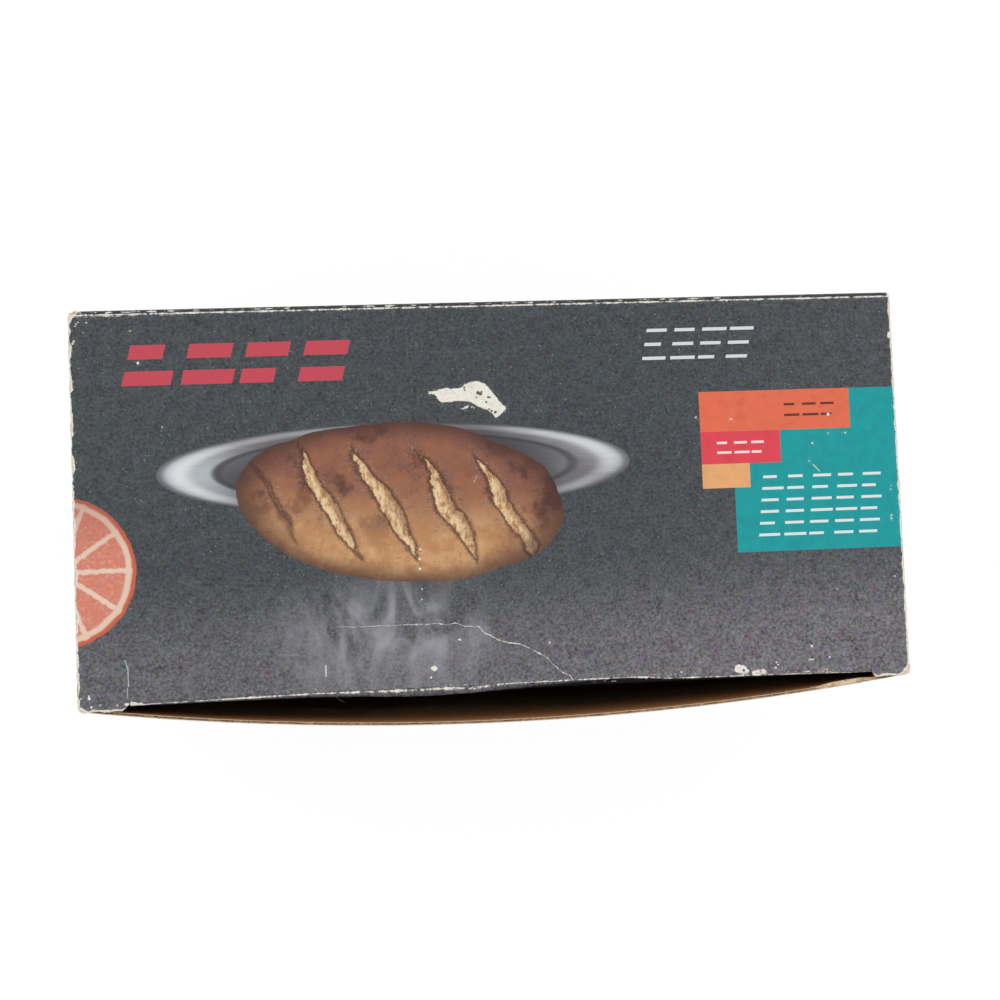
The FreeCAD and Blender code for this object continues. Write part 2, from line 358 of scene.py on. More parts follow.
# %% [markdown]
# ## The picture on the lid
#
# The lid is a carton's display side. This one carries a picture of its own: a crusty loaf with scored cuts
# on a silver platter, half a slice of fruit, a teal panel with three bars, and rows of dashes. It could be
# an image file, but shapes worked out from the place in space stay sharp at any size. The print is seen
# upside down from the front of the carton, so the steam rises towards the front edge.

# %% The loaf
loaf_middle = (-34, -1)
loaf_half = (59, 29)
loaf_tilt = math.radians(-5)
slice_pitch = 22


def loaf(where, x, y, under):
    """A loaf with scored cuts, painted over what is under it."""
    dx = x - loaf_middle[0]
    dy = y - loaf_middle[1]
    across = dx * math.cos(loaf_tilt) + dy * math.sin(loaf_tilt)
    along = dy * math.cos(loaf_tilt) - dx * math.sin(loaf_tilt)
    lumps = (where.noise(30) - 0.5) * 0.16 + (where.noise(4) - 0.5) * 0.02
    body = oval(across, along, (0, 0), loaf_half, lumps)
    mottle = where.noise(9, 6, 0.66, 0.5)
    roast = where.noise(15, 5, 0.6).rise(0.5, 0.64) * along.rise(-22, 2)
    freckles = where.noise(1.3, 4, 0.75).rise(0.54, 0.68) * mottle.rise(0.4, 0.62)
    shine = where.noise(12, 5, 0.6).rise(0.5, 0.7) * along.rise(4, -16)
    crust = where.coats(ink(210, 160, 110), (ink(140, 92, 76), (along + mottle * 26 - 13).rise(-20, 12)),
                        (ink(78, 45, 42), roast * 0.8),
                        (ink(164, 104, 66), mottle.rise(0.58, 0.42) * 0.45),
                        (ink(86, 50, 40), freckles * 0.8), (ink(232, 190, 138), shine * 0.6))

    lean = along * 0.62 + across + (where.noise(21) - 0.5) * 13
    cut = (lean + 6).wrap(-slice_pitch / 2, slice_pitch / 2)
    ragged = (where.noise(2.4, 4, 0.65) - 0.5) * 3.4
    width = (1 - ((along + 1) / 18) ** 2) * 3.4
    score = (cut.size() - width + ragged).most(lean.size() - 47)
    fine = (where * (1, 0.45, 1)).noise(1.4, 5, 0.7)
    crumb = where.coats(ink(176, 122, 78), (ink(236, 208, 160), fine.rise(0.36, 0.58)),
                        (ink(150, 98, 64), cut.rise(-0.4, 3) * 0.75))
    flour = where.noise(0.7, 3, 0.8).rise(0.56, 0.66) * score.rise(7, 1.5)
    crust = where.coats(crust, (ink(84, 48, 38), score.rise(2.2, 0.2) * 0.85),
                        (crumb, score.rise(0.3, -0.5)), (ink(226, 210, 186), flour * 0.32),
                        (ink(70, 42, 38), body.rise(-8, 0.8) * 0.85))
    return where.coats(under, (crust, body.inside(0.12)))


print("loaf of", loaf_half[0] * 2, "by", loaf_half[1] * 2, "mm")

# %% [markdown]
# The platter lies behind the loaf, so it is painted first. Its rim is two thin rings round a darker well,
# and its grey runs from dark to light as polished metal does. Steam is noise stretched along one axis.

# %% The platter and the steam


def platter(where, x, y, under):
    """A silver platter seen from low down, with the loaf's shade on it."""
    reach = oval(x, y, (-36, 11.5), (86, 16.5))
    brushed = (where * (0.05, 1, 1)).noise(0.8, 3) - 0.5
    sheen = (x * 0.075 + y * 0.16 + where.noise(40) * 3).sine() + brushed * 0.9
    bright = (reach + 1.5).size().rise(1.2, 0.1) * (sheen * 0.3 + 0.6)
    shade = oval(x, y, (-35, 4), (66, 27)).rise(3, -6)
    well = where.coats(ink(96, 96, 102), (ink(150, 154, 160), (sheen * -0.5 + 0.5) * y.rise(28, 0)))
    metal = where.coats(ink(122, 118, 122), (ink(180, 186, 192), sheen * 0.5 + 0.5),
                        (well, reach.rise(-3.6, -4.2)),
                        (ink(70, 68, 72), (reach + 4.1).size().rise(0.6, 0.1) * 0.7),
                        (ink(226, 228, 230), bright), (ink(78, 78, 82), reach.rise(-0.8, -0.1) * 0.8),
                        (ink(48, 42, 42), shade * 0.75))
    return where.coats(under, (metal, reach.inside()))


def steam(where, x, y, under):
    """Pale curls over the ground, in front of the loaf."""
    place = oval(x, y, (-40, -50), (50, 26))
    tall = where * (1, 0.5, 1)
    curls = tall.noise(15, 3, distort=1.7).rise(0.4, 0.7)
    sheet = (tall + (40, 9, 0)).noise(22, distort=1.1)
    veil = curls * 0.75 + sheet.rise(0.44, 0.52) * sheet.rise(0.66, 0.52) * 0.5
    return where.coats(under, (ink(158, 157, 164), veil * place.rise(4, -20) * 0.74))


print("platter and steam are painted under the loaf")

# %% [markdown]
# The colour blocks are flat inks. Each ink is a little uneven, because a screened print never covers
# fully. Half a slice of fruit at the left edge takes up the warm colours once more.

# %% The panel, the bars and the rules
teal = ink(12, 160, 163)
orange = ink(235, 113, 80)
rose = ink(231, 71, 86)
amber = ink(238, 175, 118)
red = ink(200, 72, 86)
peach = ink(205, 140, 124)
blocks = ((teal, (89, -24), (160, 36)), (orange, (77, 21), (134, 36)), (rose, (77, 9), (107, 21)),
          (amber, (77, 0), (95, 9)))
lines = ((ink(232, 236, 234), (97, -20), 4.3, 6, 9.5, 5, 1, 0.12),
         (ink(96, 52, 40), (109, 24.5), 4, 2, 7, 3, 0.9),
         (ink(250, 226, 222), (83, 11.4), 3.6, 2, 6.5, 3, 0.9), (red, (-134, 42), 9.5, 2, 21, 4, 5.2, 0.25),
         (ink(222, 224, 226), (56, 46.5), 5.2, 3, 10.5, 4, 1.2, 0.2))


def flat_inks(where, color, distances):
    """Flat, slightly uneven colours over the ground, each inside a distance."""
    uneven = where.noise(5, 4, 0.6).rise(0.35, 0.9)
    for colour, distance in distances:
        mixed = where.coats(colour, (tuple(part * 0.8 for part in colour), uneven))
        color = where.coats(color, (mixed, distance.inside()))
    return color


def colour_blocks(where, x, y, under):
    x = x + (where.noise(0.7) - 0.5) * 0.12
    color = flat_inks(where, under, [(colour, bar(x, y, low, high)) for colour, low, high in blocks])
    return where.coats(color, *((colour, rules(x, y, *sizes)) for colour, *sizes in lines))


def fruit_slice(where, x, y, under):
    """Half a slice of fruit that runs off the left edge."""
    middle = (-157, -22)
    reach = oval(x, y, middle, (27, 27), (where.noise(7) - 0.5) * 0.05)
    turn = (y - middle[1]).turn_from(x - middle[0])
    wedge = turn.wrap(-0.3, 0.3).size() * (reach + 27) + (where.noise(2) - 0.5) * 1.6
    flesh = where.coats(peach, (ink(226, 120, 92), where.noise(3, 4)),
                        (ink(238, 190, 160), where.noise(1.1).rise(0.45, 0.8) * 0.5),
                        (ink(236, 205, 186), wedge.rise(1.2, 0.5)),
                        (ink(232, 204, 182), (reach + 2.6).size().rise(1.5, 0.5)),
                        (ink(204, 96, 66), (reach + 0.9).rise(-0.9, 0.1)),
                        (ink(150, 84, 78), (y + 22).rise(2, 30) * 0.45))
    return where.coats(under, (flesh, reach.inside()))


def lid_ground(where):
    """The ground of the lid and its folds, paler towards the front right."""
    x, y, _ = where.axes()
    lift = x.rise(-60, 150) * y.rise(10, -60) * 0.36 + y.rise(-20, -62) * 0.66
    return charcoal_ground(where, lift + x.rise(40, 150) * 0.12)


def lid_picture(where):
    """All the ink of the lid, by the place in millimetres."""
    x, y, _ = where.axes()
    color = lid_ground(where)
    for motif in (steam, platter, loaf, fruit_slice, colour_blocks):
        color = motif(where, x, y, color)
    return color


print("the lid's picture has", len(blocks), "blocks and", len(lines), "groups of rules")

# %% [markdown]
# ## Sheets of paper as fine meshes
#
# A worn sheet has a ragged outline, crushed corners and a soft warp. A Boolean on a box can't give that,
# so a sheet is laid on a grid: every crossing of the grid goes through a function that says where it lies
# in space. The sheet is closed all round, with an outer side, an inner side and a rim.
#
# Each vertex keeps facts for the material: its place on the folded carton at rest, how deep it is in the
# sheet, and how far it is from worn print. They are stored, so that they stay with the vertices if these are
# moved.

# %% Random waves and uneven grids
ripple_parts = 7


def ripple(where, size, seed):
    """A random wave between about -1 and 1 whose lumps are about size long, the same on every run."""
    draw = np.random.default_rng(seed)
    total = np.zeros_like(where)
    for _ in range(ripple_parts):
        length = size * draw.uniform(0.5, 2.4)
        total += np.sin(where * 2 * math.pi / length + draw.uniform(0, 2 * math.pi))
    return total / 3.2


def ragged(where, width, waves, low, high):
    """A width that changes along an edge by waves (height, size, seed), kept from low to high."""
    for height, size, seed in waves:
        width = width + height * ripple(where, size, seed)
    return np.clip(width, low, high)


def smooth(value, low, high):
    """0 at low, 1 at high and smooth between them."""
    share = np.clip((value - low) / (high - low), 0, 1)
    return share * share * (3 - 2 * share)


def hill(value, middle, reach, power=2):
    """1 at the middle and nearly 0 beyond twice the reach."""
    return np.exp(-((value - middle) / reach) ** power)


def spread(low, high, coarse, fine, band, stops=(), dense=(0, 0)):
    """Positions from low to high, finer near both ends and in a dense range, and exact at the stops."""
    inner = np.linspace(low + band, high - band, max(2, int((high - low - 2 * band) / coarse)))
    places = [*np.arange(low, low + band, fine), *inner, *np.arange(high, high - band, -fine)]
    if dense[1] > dense[0]:
        places = [place for place in places if not dense[0] - fine < place < dense[1] + fine]
        places += list(np.arange(dense[0], dense[1] + fine / 2, fine))
    places = [place for place in places if all(abs(place - stop) > fine * 0.4 for stop in stops)]
    return np.array(sorted([*places, *stops]))


print("a wave is a sum of", ripple_parts, "sines")

# %% [markdown]
# A mesh of a sheet is built as arrays, because loops over a million corners would be slow: the outer side,
# the inner side with its faces the other way round, and a rim wherever a kept cell has no neighbour.

# %% Lay a sheet on a grid


def store(mesh, name, values, kind="FLOAT", field="value"):
    layer = mesh.attributes.new(name, kind, "POINT")
    layer.data.foreach_set(field, values.astype(np.float32).reshape(-1))


def hand_over(name, mesh, finish, slot, nodes, body=None, between=None):
    """Make a piece: its finish, the nodes it stands for, and the body it moves with; a piece between two
    bodies is baked in place instead.
    """
    piece = bpy.data.objects.new(name, mesh)
    bpy.context.scene.collection.objects.link(piece)
    mesh.materials.append(finish)
    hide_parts(*nodes)
    if body:
        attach(piece, body)
    if between:
        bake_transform(piece)
    print(name, "has", len(mesh.polygons), "faces")


def lay_sheet(name, grid, depth, place, finish, slot, node, facts=None, keep=None, **moves):
    """A closed sheet over a grid (us, vs), which place(u, v, w) puts in space."""
    u, v = np.meshgrid(*grid, indexing="ij")
    rows, columns = u.shape
    under = rows * columns
    points = np.concatenate([place(u, v, np.full_like(u, level)).reshape(-1, 3) for level in (0, depth)])
    kept = keep(*grid) if keep else np.ones((rows - 1, columns - 1), bool)
    number = np.arange(under).reshape(rows, columns)
    corners = [number[:-1, :-1], number[1:, :-1], number[1:, 1:], number[:-1, 1:]]
    outer = np.stack([corner[kept] for corner in corners], axis=1)
    quads = [outer, outer[:, ::-1] + under]
    around = np.pad(kept, 1)
    neighbours = [around[1:-1, :-2], around[2:, 1:-1], around[1:-1, 2:], around[:-2, 1:-1]]
    for side, beside in enumerate(neighbours):
        edge = kept & ~beside
        start = corners[side][edge]
        end = corners[(side + 1) % 4][edge]
        quads.append(np.stack([end, start, start + under, end + under], axis=1))
    quads = np.concatenate(quads)
    a, b, c = (points[outer[0][index]] for index in (0, 1, 2))
    if np.cross(b - a, c - a) @ (a - points[outer[0][0] + under]) < 0:
        quads = quads[:, ::-1]
    used, index = np.unique(quads, return_inverse=True)
    mesh = bpy.data.meshes.new(name)
    mesh.from_pydata(points[used] / 1000, [], index.reshape(-1, 4).tolist())
    mesh.shade_smooth()
    mesh.set_sharp_from_angle(angle=math.radians(42))
    store(mesh, "depth", np.repeat([0.0, 1.0], under)[used])
    for fact, work in (facts or {}).items():
        store(mesh, fact, np.tile(work(u, v).reshape(-1), 2)[used])
    store(mesh, "rest", points[used], "FLOAT_VECTOR", "vector")
    hand_over(name, mesh, finish, slot, [node], **moves)


print("sheets are laid in millimetres and stored in metres")

# %% [markdown]
# ## Where the lid is worn
#
# Wear is a distance too: zero and below is bare paper. Along each edge of the lid the ink has gone for a
# width that changes along the edge. On the left it is worn back in scallops, at the hinge fold it is a
# fine broken line, and at the tuck fold it has ticks. A patch of print was torn off, with a thin tail, and
# a crack runs across the lower middle. Their outlines are in millimetres.

# %% Places of the wear
lid_left = lid_low[0]
lid_right = lid_high[0]
lid_back = lid_high[1]
ear_front = lid_low[1]
lid_front = tuck_high[1]
slit_gap = 0.3
left_slit = tuck_low[0] - slit_gap
right_slit = tuck_high[0] + slit_gap

tuck_line_places = [-136, -118, -100, -87, -66, -43, -24, -10, 0, 24, 46, 53, 60, 68, 80, 100, 114, 137]
tuck_line_steps = [2.3, 1.6, 1.2, 0.9, 0.5, 0.6, 0.45, 0.75, 0.1, -0.15, -0.2, 0.1, 0.8, 1.0, 1.2, 1.4,
                   1.7, 2.5]
second_lines = [(-22, 34, 0.95), (38, 12, -1.2), (55, 7, 1.2), (116, 26, 1), (119, 5, 1.7), (120, 4, 0.6)]
torn_patch = [(-20.9, 37.7), (-20.5, 39.1), (-19.7, 39.9), (-17.0, 40.3), (-14.0, 40.0), (-11.9, 40.2),
              (-10.9, 40.4), (-9.7, 41.6), (-8.1, 42.2), (-6.3, 42.4), (-4.1, 42.3), (-2.5, 41.5),
              (-1.1, 39.9), (0.3, 38.2), (1.9, 36.2), (2.5, 34.9), (3.8, 33.8), (4.7, 32.9), (5.2, 31.8),
              (4.0, 30.7), (2.4, 29.4), (1.2, 28.8), (0.3, 29.1), (0.4, 29.8), (-0.3, 30.4), (-2.1, 31.7),
              (-4.5, 32.7), (-6.3, 33.8), (-8.1, 34.8), (-10.5, 35.3), (-12.7, 35.2), (-14.8, 35.0),
              (-16.3, 34.9), (-17.9, 34.7), (-19.1, 35.4), (-20.1, 36.5)]
torn_tail = [(-23.4, 39.1), (-20.4, 39.3), (-20.4, 38.0), (-23.2, 38.1)]
torn_scrap = [(-11.9, 32.4), (-10.6, 32.9), (-8.8, 33.7), (-8.1, 33.4), (-9.2, 32.7), (-10.2, 32.1),
              (-11.7, 32.0)]
crack = [(-58.3, -45.3), (-47.6, -45.4), (-36.7, -45.5), (-27.7, -45.6), (-23.2, -45.4), (-19.8, -46.2),
         (-16.8, -45.4), (-13.2, -46.9), (-8.2, -47.3), (-6.0, -49.5), (0.0, -53.0), (6.6, -54.2),
         (9.7, -55.6), (16.6, -59.7), (18.6, -62.3), (21.2, -64.7), (24.4, -66.4), (26.1, -69.2)]
print("torn patch of", len(torn_patch), "points, crack of", len(crack))

# %% [markdown]
# Small knocks are round spots, each with its place and radius. Some specks of ink stayed inside the bare
# places. Scratches are thin bars with a slant and a faintness.

# %% Places of chips and scratches
ink_left = [(-10.0, 40.2, 0.4), (-9.9, 39.3, 0.35), (-5.0, 38.1, 0.7), (-4.1, 37.7, 0.6),
            (-3.7, 38.4, 0.4), (-5.6, 36.4, 0.3), (-1.3, 36.4, 0.45), (-0.7, 36.3, 0.35), (-2.1, 34.6, 0.4),
            (-1.2, 32.0, 0.35), (-0.3, 31.3, 0.45), (1.1, 30.8, 0.55), (88.9, -67.4, 0.5),
            (91.4, -67.5, 0.25), (91.6, -68.3, 0.25), (95.1, -68.0, 0.3)]
chips = [(-7.4, 33.0, 0.3), (-6.8, 32.6, 0.25), (-25.3, -61.7, 0.85), (-24.7, -61.6, 0.85),
         (-15.6, -51.5, 0.4), (-15.1, -51.7, 0.35), (-26.2, -64.8, 0.35), (75.6, 26.7, 0.4),
         (115.0, -59.6, 0.45), (121.6, -63.9, 0.4), (88.8, 25.6, 0.45), (125.8, 26.3, 0.55),
         (-127.3, 52.4, 0.45), (-129.8, 64.1, 0.3), (151.4, 55.5, 1.4), (86.9, -66.7, 1.5),
         (88.3, -67.2, 1.8), (89.7, -68.1, 1.2), (92.8, -68.6, 0.9), (94.3, -68.5, 1.2), (96.0, -68.3, 1.1),
         (97.2, -68.7, 0.7), (101.3, -65.0, 0.3), (101.9, -66.0, 0.32), (101.0, -67.0, 0.42),
         (60.3, -68.4, 0.3), (61.7, -67.9, 0.28), (63.2, -67.7, 0.28), (65.6, -66.9, 0.4),
         (17.6, -54.1, 0.4), (-147.7, -66.2, 0.4), (-147.6, -66.9, 0.45), (-147.0, -69.9, 0.4),
         (-150.5, -66.8, 0.25), (-143.9, -69.3, 0.22), (-137.9, -69.6, 0.3), (-148.7, 67.1, 0.28),
         (-148.1, 67.7, 0.22), (-149.1, 66.3, 0.22), (-145.1, 67.5, 0.26), (-146.5, 63.8, 0.22),
         (-149.8, 60.8, 0.38), (-150.2, 60.0, 0.34), (-28.3, -18.5, 0.5), (-28.8, -21.9, 0.55),
         (-28.7, -25.5, 0.5), (-28.5, -36.6, 0.32), (-28.3, -32.8, 0.2), (-7.7, 5.9, 0.2),
         (-7.2, 6.7, 0.22), (-6.8, 7.4, 0.2), (-4.4, 11.2, 0.24), (119.0, 15.7, 0.4), (117.7, 9.0, 0.3),
         (125.4, 19.2, 0.22), (131.9, 19.1, 0.3), (148.4, -1.2, 0.25), (148.2, -2.6, 0.22),
         (148.0, -12.3, 0.3), (147.9, -13.4, 0.36), (148.0, -35.0, 0.34), (125.6, -39.0, 0.24),
         (-119.4, 29.0, 0.2), (-103.1, 28.2, 0.3), (-134.6, -69.5, 0.7), (-133.2, -69.3, 0.85),
         (-131.6, -69.5, 0.7), (-129.8, -69.7, 0.55)]
scratches = [((-64.0, -62.6), (-63.8, -58.9), 0, 0.1), ((113.6, -64.6), (115.4, -64.4), 0, 0.1),
             ((-134.45, -56.8), (-134.35, -53.7), -0.28, 0.2), ((-133.9, -63.2), (-133.8, -56.6), 0, 0.2),
             ((-134.35, -67.6), (-134.25, -63.6), 0.08, 0.23), ((120.1, 5.2), (120.3, 7.6), -0.9, 0.1)]
print(len(chips), "chips and", len(scratches), "scratches")

# %% [markdown]
# The distance to wear is worked out once for each vertex. That gives the material a clean edge, which it
# then roughens with noise finer than the mesh.

# %% Distances to the lid's wear


def tuck_line(u, step):
    """Distance to the worn line of the tuck fold. Step is how far past the lid's front a point lies."""
    middle = np.interp(u, tuck_line_places, tuck_line_steps)
    width = ragged(u, 0.15 + 0.2 * hill(u, -92, 9), [(0.12, 9, 7), (0.12, 2.2, 8)], -0.05, 0.55)
    frayed = 0.65 * hill(u, -133, 5)
    distances = [np.abs(step - middle) - width - frayed]
    for centre, reach, lift in second_lines:
        again = np.abs(step - middle + lift + 0.15 * ripple(u, 6, 17)) + 0.45 - hill(u, centre, reach) * 0.5
        distances.append(again - 0.12 * ripple(u, 3.5, 18))
    for x, y, radius in chips:
        if y < lid_front + 1.5:
            distances.append(np.maximum(np.hypot(u - x, lid_front - step - y) - radius, -0.2))
    return np.minimum.reduce(distances)


def rounded(first, second, radius):
    """Distance in from two edges that meet at a rounded corner."""
    corner = radius - np.hypot(np.maximum(0, radius - first), np.maximum(0, radius - second))
    return np.where((first < radius) & (second < radius), corner, np.minimum(first, second))


def lid_wear(u, v):
    """Distance to bare paper on the lid, from the wear of its edges and corners."""
    left = u - lid_left - ragged(v, 0.55, [(0.5, 9, 1), (0.3, 3.1, 2)], 0.1, 1.7)
    right = lid_right - u - ragged(v, 0.12, [(0.2, 11, 3), (0.12, 2.6, 4)], 0, 0.7)
    worn_left = smooth(u, -95, -140) * 0.35
    back = lid_back - v - ragged(u, worn_left - 0.22, [(0.12, 13, 5), (0.1, 3, 6)], -0.35, 0.6)
    ear = v - ear_front - ragged(u, 0.4, [(0.3, 5, 9), (0.25, 1.9, 10)], 0.1, 1.2)
    slit = np.minimum(np.abs(u - left_slit), np.abs(u - right_slit)) - 0.15
    on_ear = (u < left_slit + 1e-6) | (u > right_slit - 1e-6)
    ear_edge = np.where(v < lid_front - 1.6, np.minimum(ear, slit), ear)
    front = np.where(on_ear, ear_edge, tuck_line(u, lid_front - v))
    return np.minimum.reduce([left, right, back, front, rounded(left, back_plane - 1.1 - v, 4.6),
                              rounded(right, back_plane - 0.4 - v, 1.6),
                              rounded(left - 0.2, ear - 0.2, 4.2), rounded(right - 0.6, ear - 0.5, 5.0)])


def patch_distance(u, v, points):
    """Distance to the edge of a closed outline, below zero inside it."""
    inside = np.zeros_like(u, dtype=bool)
    away = np.full_like(u, 1e9)
    for (x0, y0), (x1, y1) in zip(points, points[1:] + points[:1]):
        length = (x1 - x0) ** 2 + (y1 - y0) ** 2
        share = np.clip(((u - x0) * (x1 - x0) + (v - y0) * (y1 - y0)) / length, 0, 1)
        away = np.minimum(away, np.hypot(u - x0 - share * (x1 - x0), v - y0 - share * (y1 - y0)))
        if y0 != y1:
            crosses = (y0 > v) != (y1 > v)
            inside ^= crosses & (u < (x1 - x0) * (v - y0) / (y1 - y0) + x0)
    return np.where(inside, -away, away)


def lid_torn(u, v):
    waves = 0.2 * ripple(u + 0.6 * v, 2.3, 21) + 0.15 * ripple(v - 0.4 * u, 1.9, 22)
    pieces = [patch_distance(u, v, outline) for outline in (torn_patch, torn_tail, torn_scrap)]
    pieces[0] += waves * 0.4
    return np.minimum.reduce(pieces)


def lid_crack(u, v):
    """Signed distance to the crack. It passes through zero, so a line thinner than the grid stays whole."""
    x, y = np.array(crack).T
    slope = np.interp(u + 0.5, x, y) - np.interp(u - 0.5, x, y)
    return (v - np.interp(u, x, y)) / np.sqrt(1 + slope ** 2)


print("ears end at", round(left_slit, 1), "and", round(right_slit, 1), "mm")

# %% [markdown]
# ## The finish of bare paper
#
# Under the ink is white-lined paper, matt and slightly fibrous, with grey specks where some ink stayed
# and yellower where it has been rubbed. At the rim of a sheet the paper's core shows.

# %% Bare paper and worn ink


def bare_paper(where):
    fibres = (where * (1, 2.6, 1)).noise(1.3, 4, 0.65)
    return where.coats(ink(226, 220, 206), (ink(246, 243, 233), fibres.rise(0.3, 0.6)),
                       (ink(222, 204, 196), where.noise(5).rise(0.5, 0.7) * 0.4),
                       (ink(168, 166, 162), where.noise(1.1, 3, 0.7).rise(0.6, 0.68) * 0.6))


def weathered(where, printed, distance, rim, through=None):
    """Print with its wear: bare paper inside a distance, flecks round it, and the sheet's rim.

    Through is the distance of wear that goes down to the core.
    """
    rag = where.noise(0.5, 3, 0.75) - 0.5
    broken = where.noise(1.5, 4, 0.7)
    bare = (distance + rag * 0.9).rise(0.08, -0.05) * broken.rise(0.4, 0.5).most(distance.rise(-0.1, -0.3))
    flecks = rag.rise(0.08, 0.16) * broken.rise(0.44, 0.56) * distance.rise(1.7, 0.1)
    paper = bare_paper(where)
    core = where.coats(ink(202, 182, 158), (ink(238, 226, 206), where.noise(0.9, 3).rise(0.3, 0.7)))
    depth = (through or distance) + rag * 1.6
    worn = where.coats(paper, (core, depth.rise(-0.35, -0.75)))
    return where.coats(printed, (paper, flecks * 0.8), (worn, bare), (core, rim)), bare


def handled(where, flat, edge, printed):
    """Wear of the walls: pale rubbing that thins out away from the edges, and the distance to chips."""
    patch = where.noise(16, 3)
    rubbed = edge.rise(12, 0) * patch.rise(0.42, 0.66) * where.noise(1.1, 4, 0.8).rise(0.5, 0.62)
    chance = where.noise(70, 1).rise(0.42, 0.56)
    reach = chance * (patch * 2.2 + 0.2) - 0.3
    return where.coats(printed, (ink(196, 194, 188), rubbed * 0.5)), flat.cells(38) * 38 - reach


def scuffed(where, printed):
    """Fine scratches and rubbed places on the ink."""
    lengthwise = (where * (0.06, 1, 1) + (3, 0, 0)).noise(0.9, 3, 0.6).rise(0.66, 0.74)
    cross = (where * (1, 0.05, 1)).noise(1, 3, 0.6).rise(0.69, 0.76)
    areas = where.noise(26).rise(0.5, 0.75) * 0.7 + 0.18
    return where.coats(printed, (ink(158, 158, 158), (lengthwise * 0.5 + cross * 0.4) * areas))


def ribs(along):
    """The waves of the medium, as they show through the sheets."""
    return (along * (2 * math.pi / flute_pitch)).sine()


print("bare paper, worn ink and scuffs are ready")

# %% [markdown]
# ## The lid's printed sheet
#
# The lid gets the picture first, then scuffs, then the bare places. The relief is in millimetres: the
# torn patch is one ply deep, the crack is a groove, and the flutes below show as faint ribs.

# %% The finish of the lid
varnish = 0.32
tick_pitch = 0.95


def fold_ticks(x, y, where):
    """Short cracks that run back from the tuck fold, one chance to a cell along it."""
    place = x / tick_pitch
    cell = place.floor()
    chance, shift, reach = dice(cell, 3, "Color").axes()
    across = ((place - cell - 0.5) + (shift - 0.5) * 0.6).size() * tick_pitch - 0.16
    top = (y - lid_front) - (reach * reach * reach * 2.4 + 0.6)
    busy = where.noise(8).rise(0.44, 0.56) * x.rise(28, 33) * x.rise(82, 76)
    return across.most(top).inside(0.12) * chance.rise(0.66, 0.68) * busy


def lid_finish():
    finish = Finish("lid_print_finish", varnish)
    where = finish.place()
    flat = where * (1, 1, 0)
    x, y, _ = where.axes()
    torn = finish.stored("torn")
    wear = finish.stored("wear")
    strength = where.noise(1.4, 4, 0.7)
    marks = nearest(bar(x, y, low, high, slant) + faint for low, high, slant, faint in scratches)
    crack_line = (finish.stored("crack") + (where.noise(2.2, 5, 0.7) - 0.5) * 1.5).size()
    ends = x.rise(-62, -56) * x.rise(26.8, 26)
    split = (crack_line - (strength - 0.45) * 0.7).rise(0.14, 0)
    opened = split * (x.rise(-62, -4) * 0.65 + 0.35) * ends * strength.rise(0.2, 0.5)
    printed = where.coats(scuffed(where, lid_picture(where)),
                          (ink(220, 219, 214), (marks - strength * 0.4).rise(0.14, 0) * 0.85),
                          (ink(214, 213, 210), fold_ticks(x, y, where) * strength.rise(0.3, 0.6)),
                          (ink(236, 236, 234), opened))
    worn = wear.least(spots(flat, chips)).least(torn)
    color, bare = weathered(where, printed, worn, finish.stored("depth").rise(0.1, 0.3), wear)
    color = where.coats(color, (ink(56, 56, 54), spots(flat, ink_left).rise(0.14, -0.14) * 0.9))
    groove = crack_line.rise(0.4, 0) * opened * -0.06
    ply = torn.rise(0.15, -0.15) * (where.noise(1.6, 4) * 0.12 - 0.2)
    lip = torn.rise(0.9, 0.1) * torn.rise(-0.3, 0.1) * 0.07
    paper = ribs(x) * 0.006 + where.noise(0.5, 3) * 0.012 + where.noise(34) * 0.5
    return finish.dress(color, bare * 0.34 + 0.5, paper + groove + ply + lip - bare * 0.05)


lid_material = lid_finish()
print("the lid's finish has", len(lid_material.node_tree.nodes), "nodes")

# %% [markdown]
# ## Brown papers
#
# The liner is kraft paper: brown, with short pale and dark fibres and faint bands where it is glued to
# the waves. The medium is a duller brown. Both are seen at cut edges and inside the carton. They take
# their place from the stored rest position, or from object coordinates where the CAD mesh is kept.

# %% Kraft liner and medium


def kraft_color(where, along):
    fibres = (where * (1, 0.28, 0.6)).noise(0.7, 4, 0.7)
    threads = (where * (0.3, 1, 1)).noise(0.9, 4, 0.7)
    return where.coats(ink(150, 112, 78), (ink(186, 150, 112), fibres.rise(0.3, 0.7)),
                       (ink(206, 174, 136), threads.rise(0.58, 0.72) * 0.6),
                       (ink(112, 80, 54), threads.rise(0.4, 0.3) * 0.45),
                       (ink(146, 108, 76), ribs(along).rise(0.2, 1) * 0.22),
                       (ink(140, 104, 74), where.noise(18, 3).rise(0.5, 0.75) * 0.4))


def kraft_finish(own, axis):
    """Kraft liner. Axis tells which way the waves below it repeat: 0 for x, 1 for y."""
    finish = Finish(f"kraft_{'skin' if own else 'node'}_{axis}", 0.2)
    where = finish.place(own)
    along = where.axes()[axis]
    relief = ribs(along) * 0.022 + where.noise(0.6, 4, 0.7) * 0.03
    return finish.dress(kraft_color(where, along), where.noise(5) * 0.1 + 0.8, relief)


def medium_finish(own):
    finish = Finish(f"medium_{'skin' if own else 'node'}", 0.15)
    where = finish.place(own)
    fibres = where.noise(0.5, 4, 0.75)
    flecks = where.noise(1.7, 3, 0.7).rise(0.6, 0.7)
    color = where.coats(ink(128, 98, 70), (ink(170, 138, 104), fibres), (ink(100, 74, 54), flecks * 0.5))
    return finish.dress(color, fibres * 0.08 + 0.84, fibres * 0.03)


kraft = {(own, axis): kraft_finish(own, axis) for own in (True, False) for axis in (0, 1)}
medium = {own: medium_finish(own) for own in (True, False)}
print("brown finishes:", len(kraft) + len(medium))

# %% [markdown]
# ## The lid's three papers
#
# The papers share one outline and one warp, so they stay together. Near a corner, the square of the grid
# is mapped to a quarter disc, which crushes the corner round.

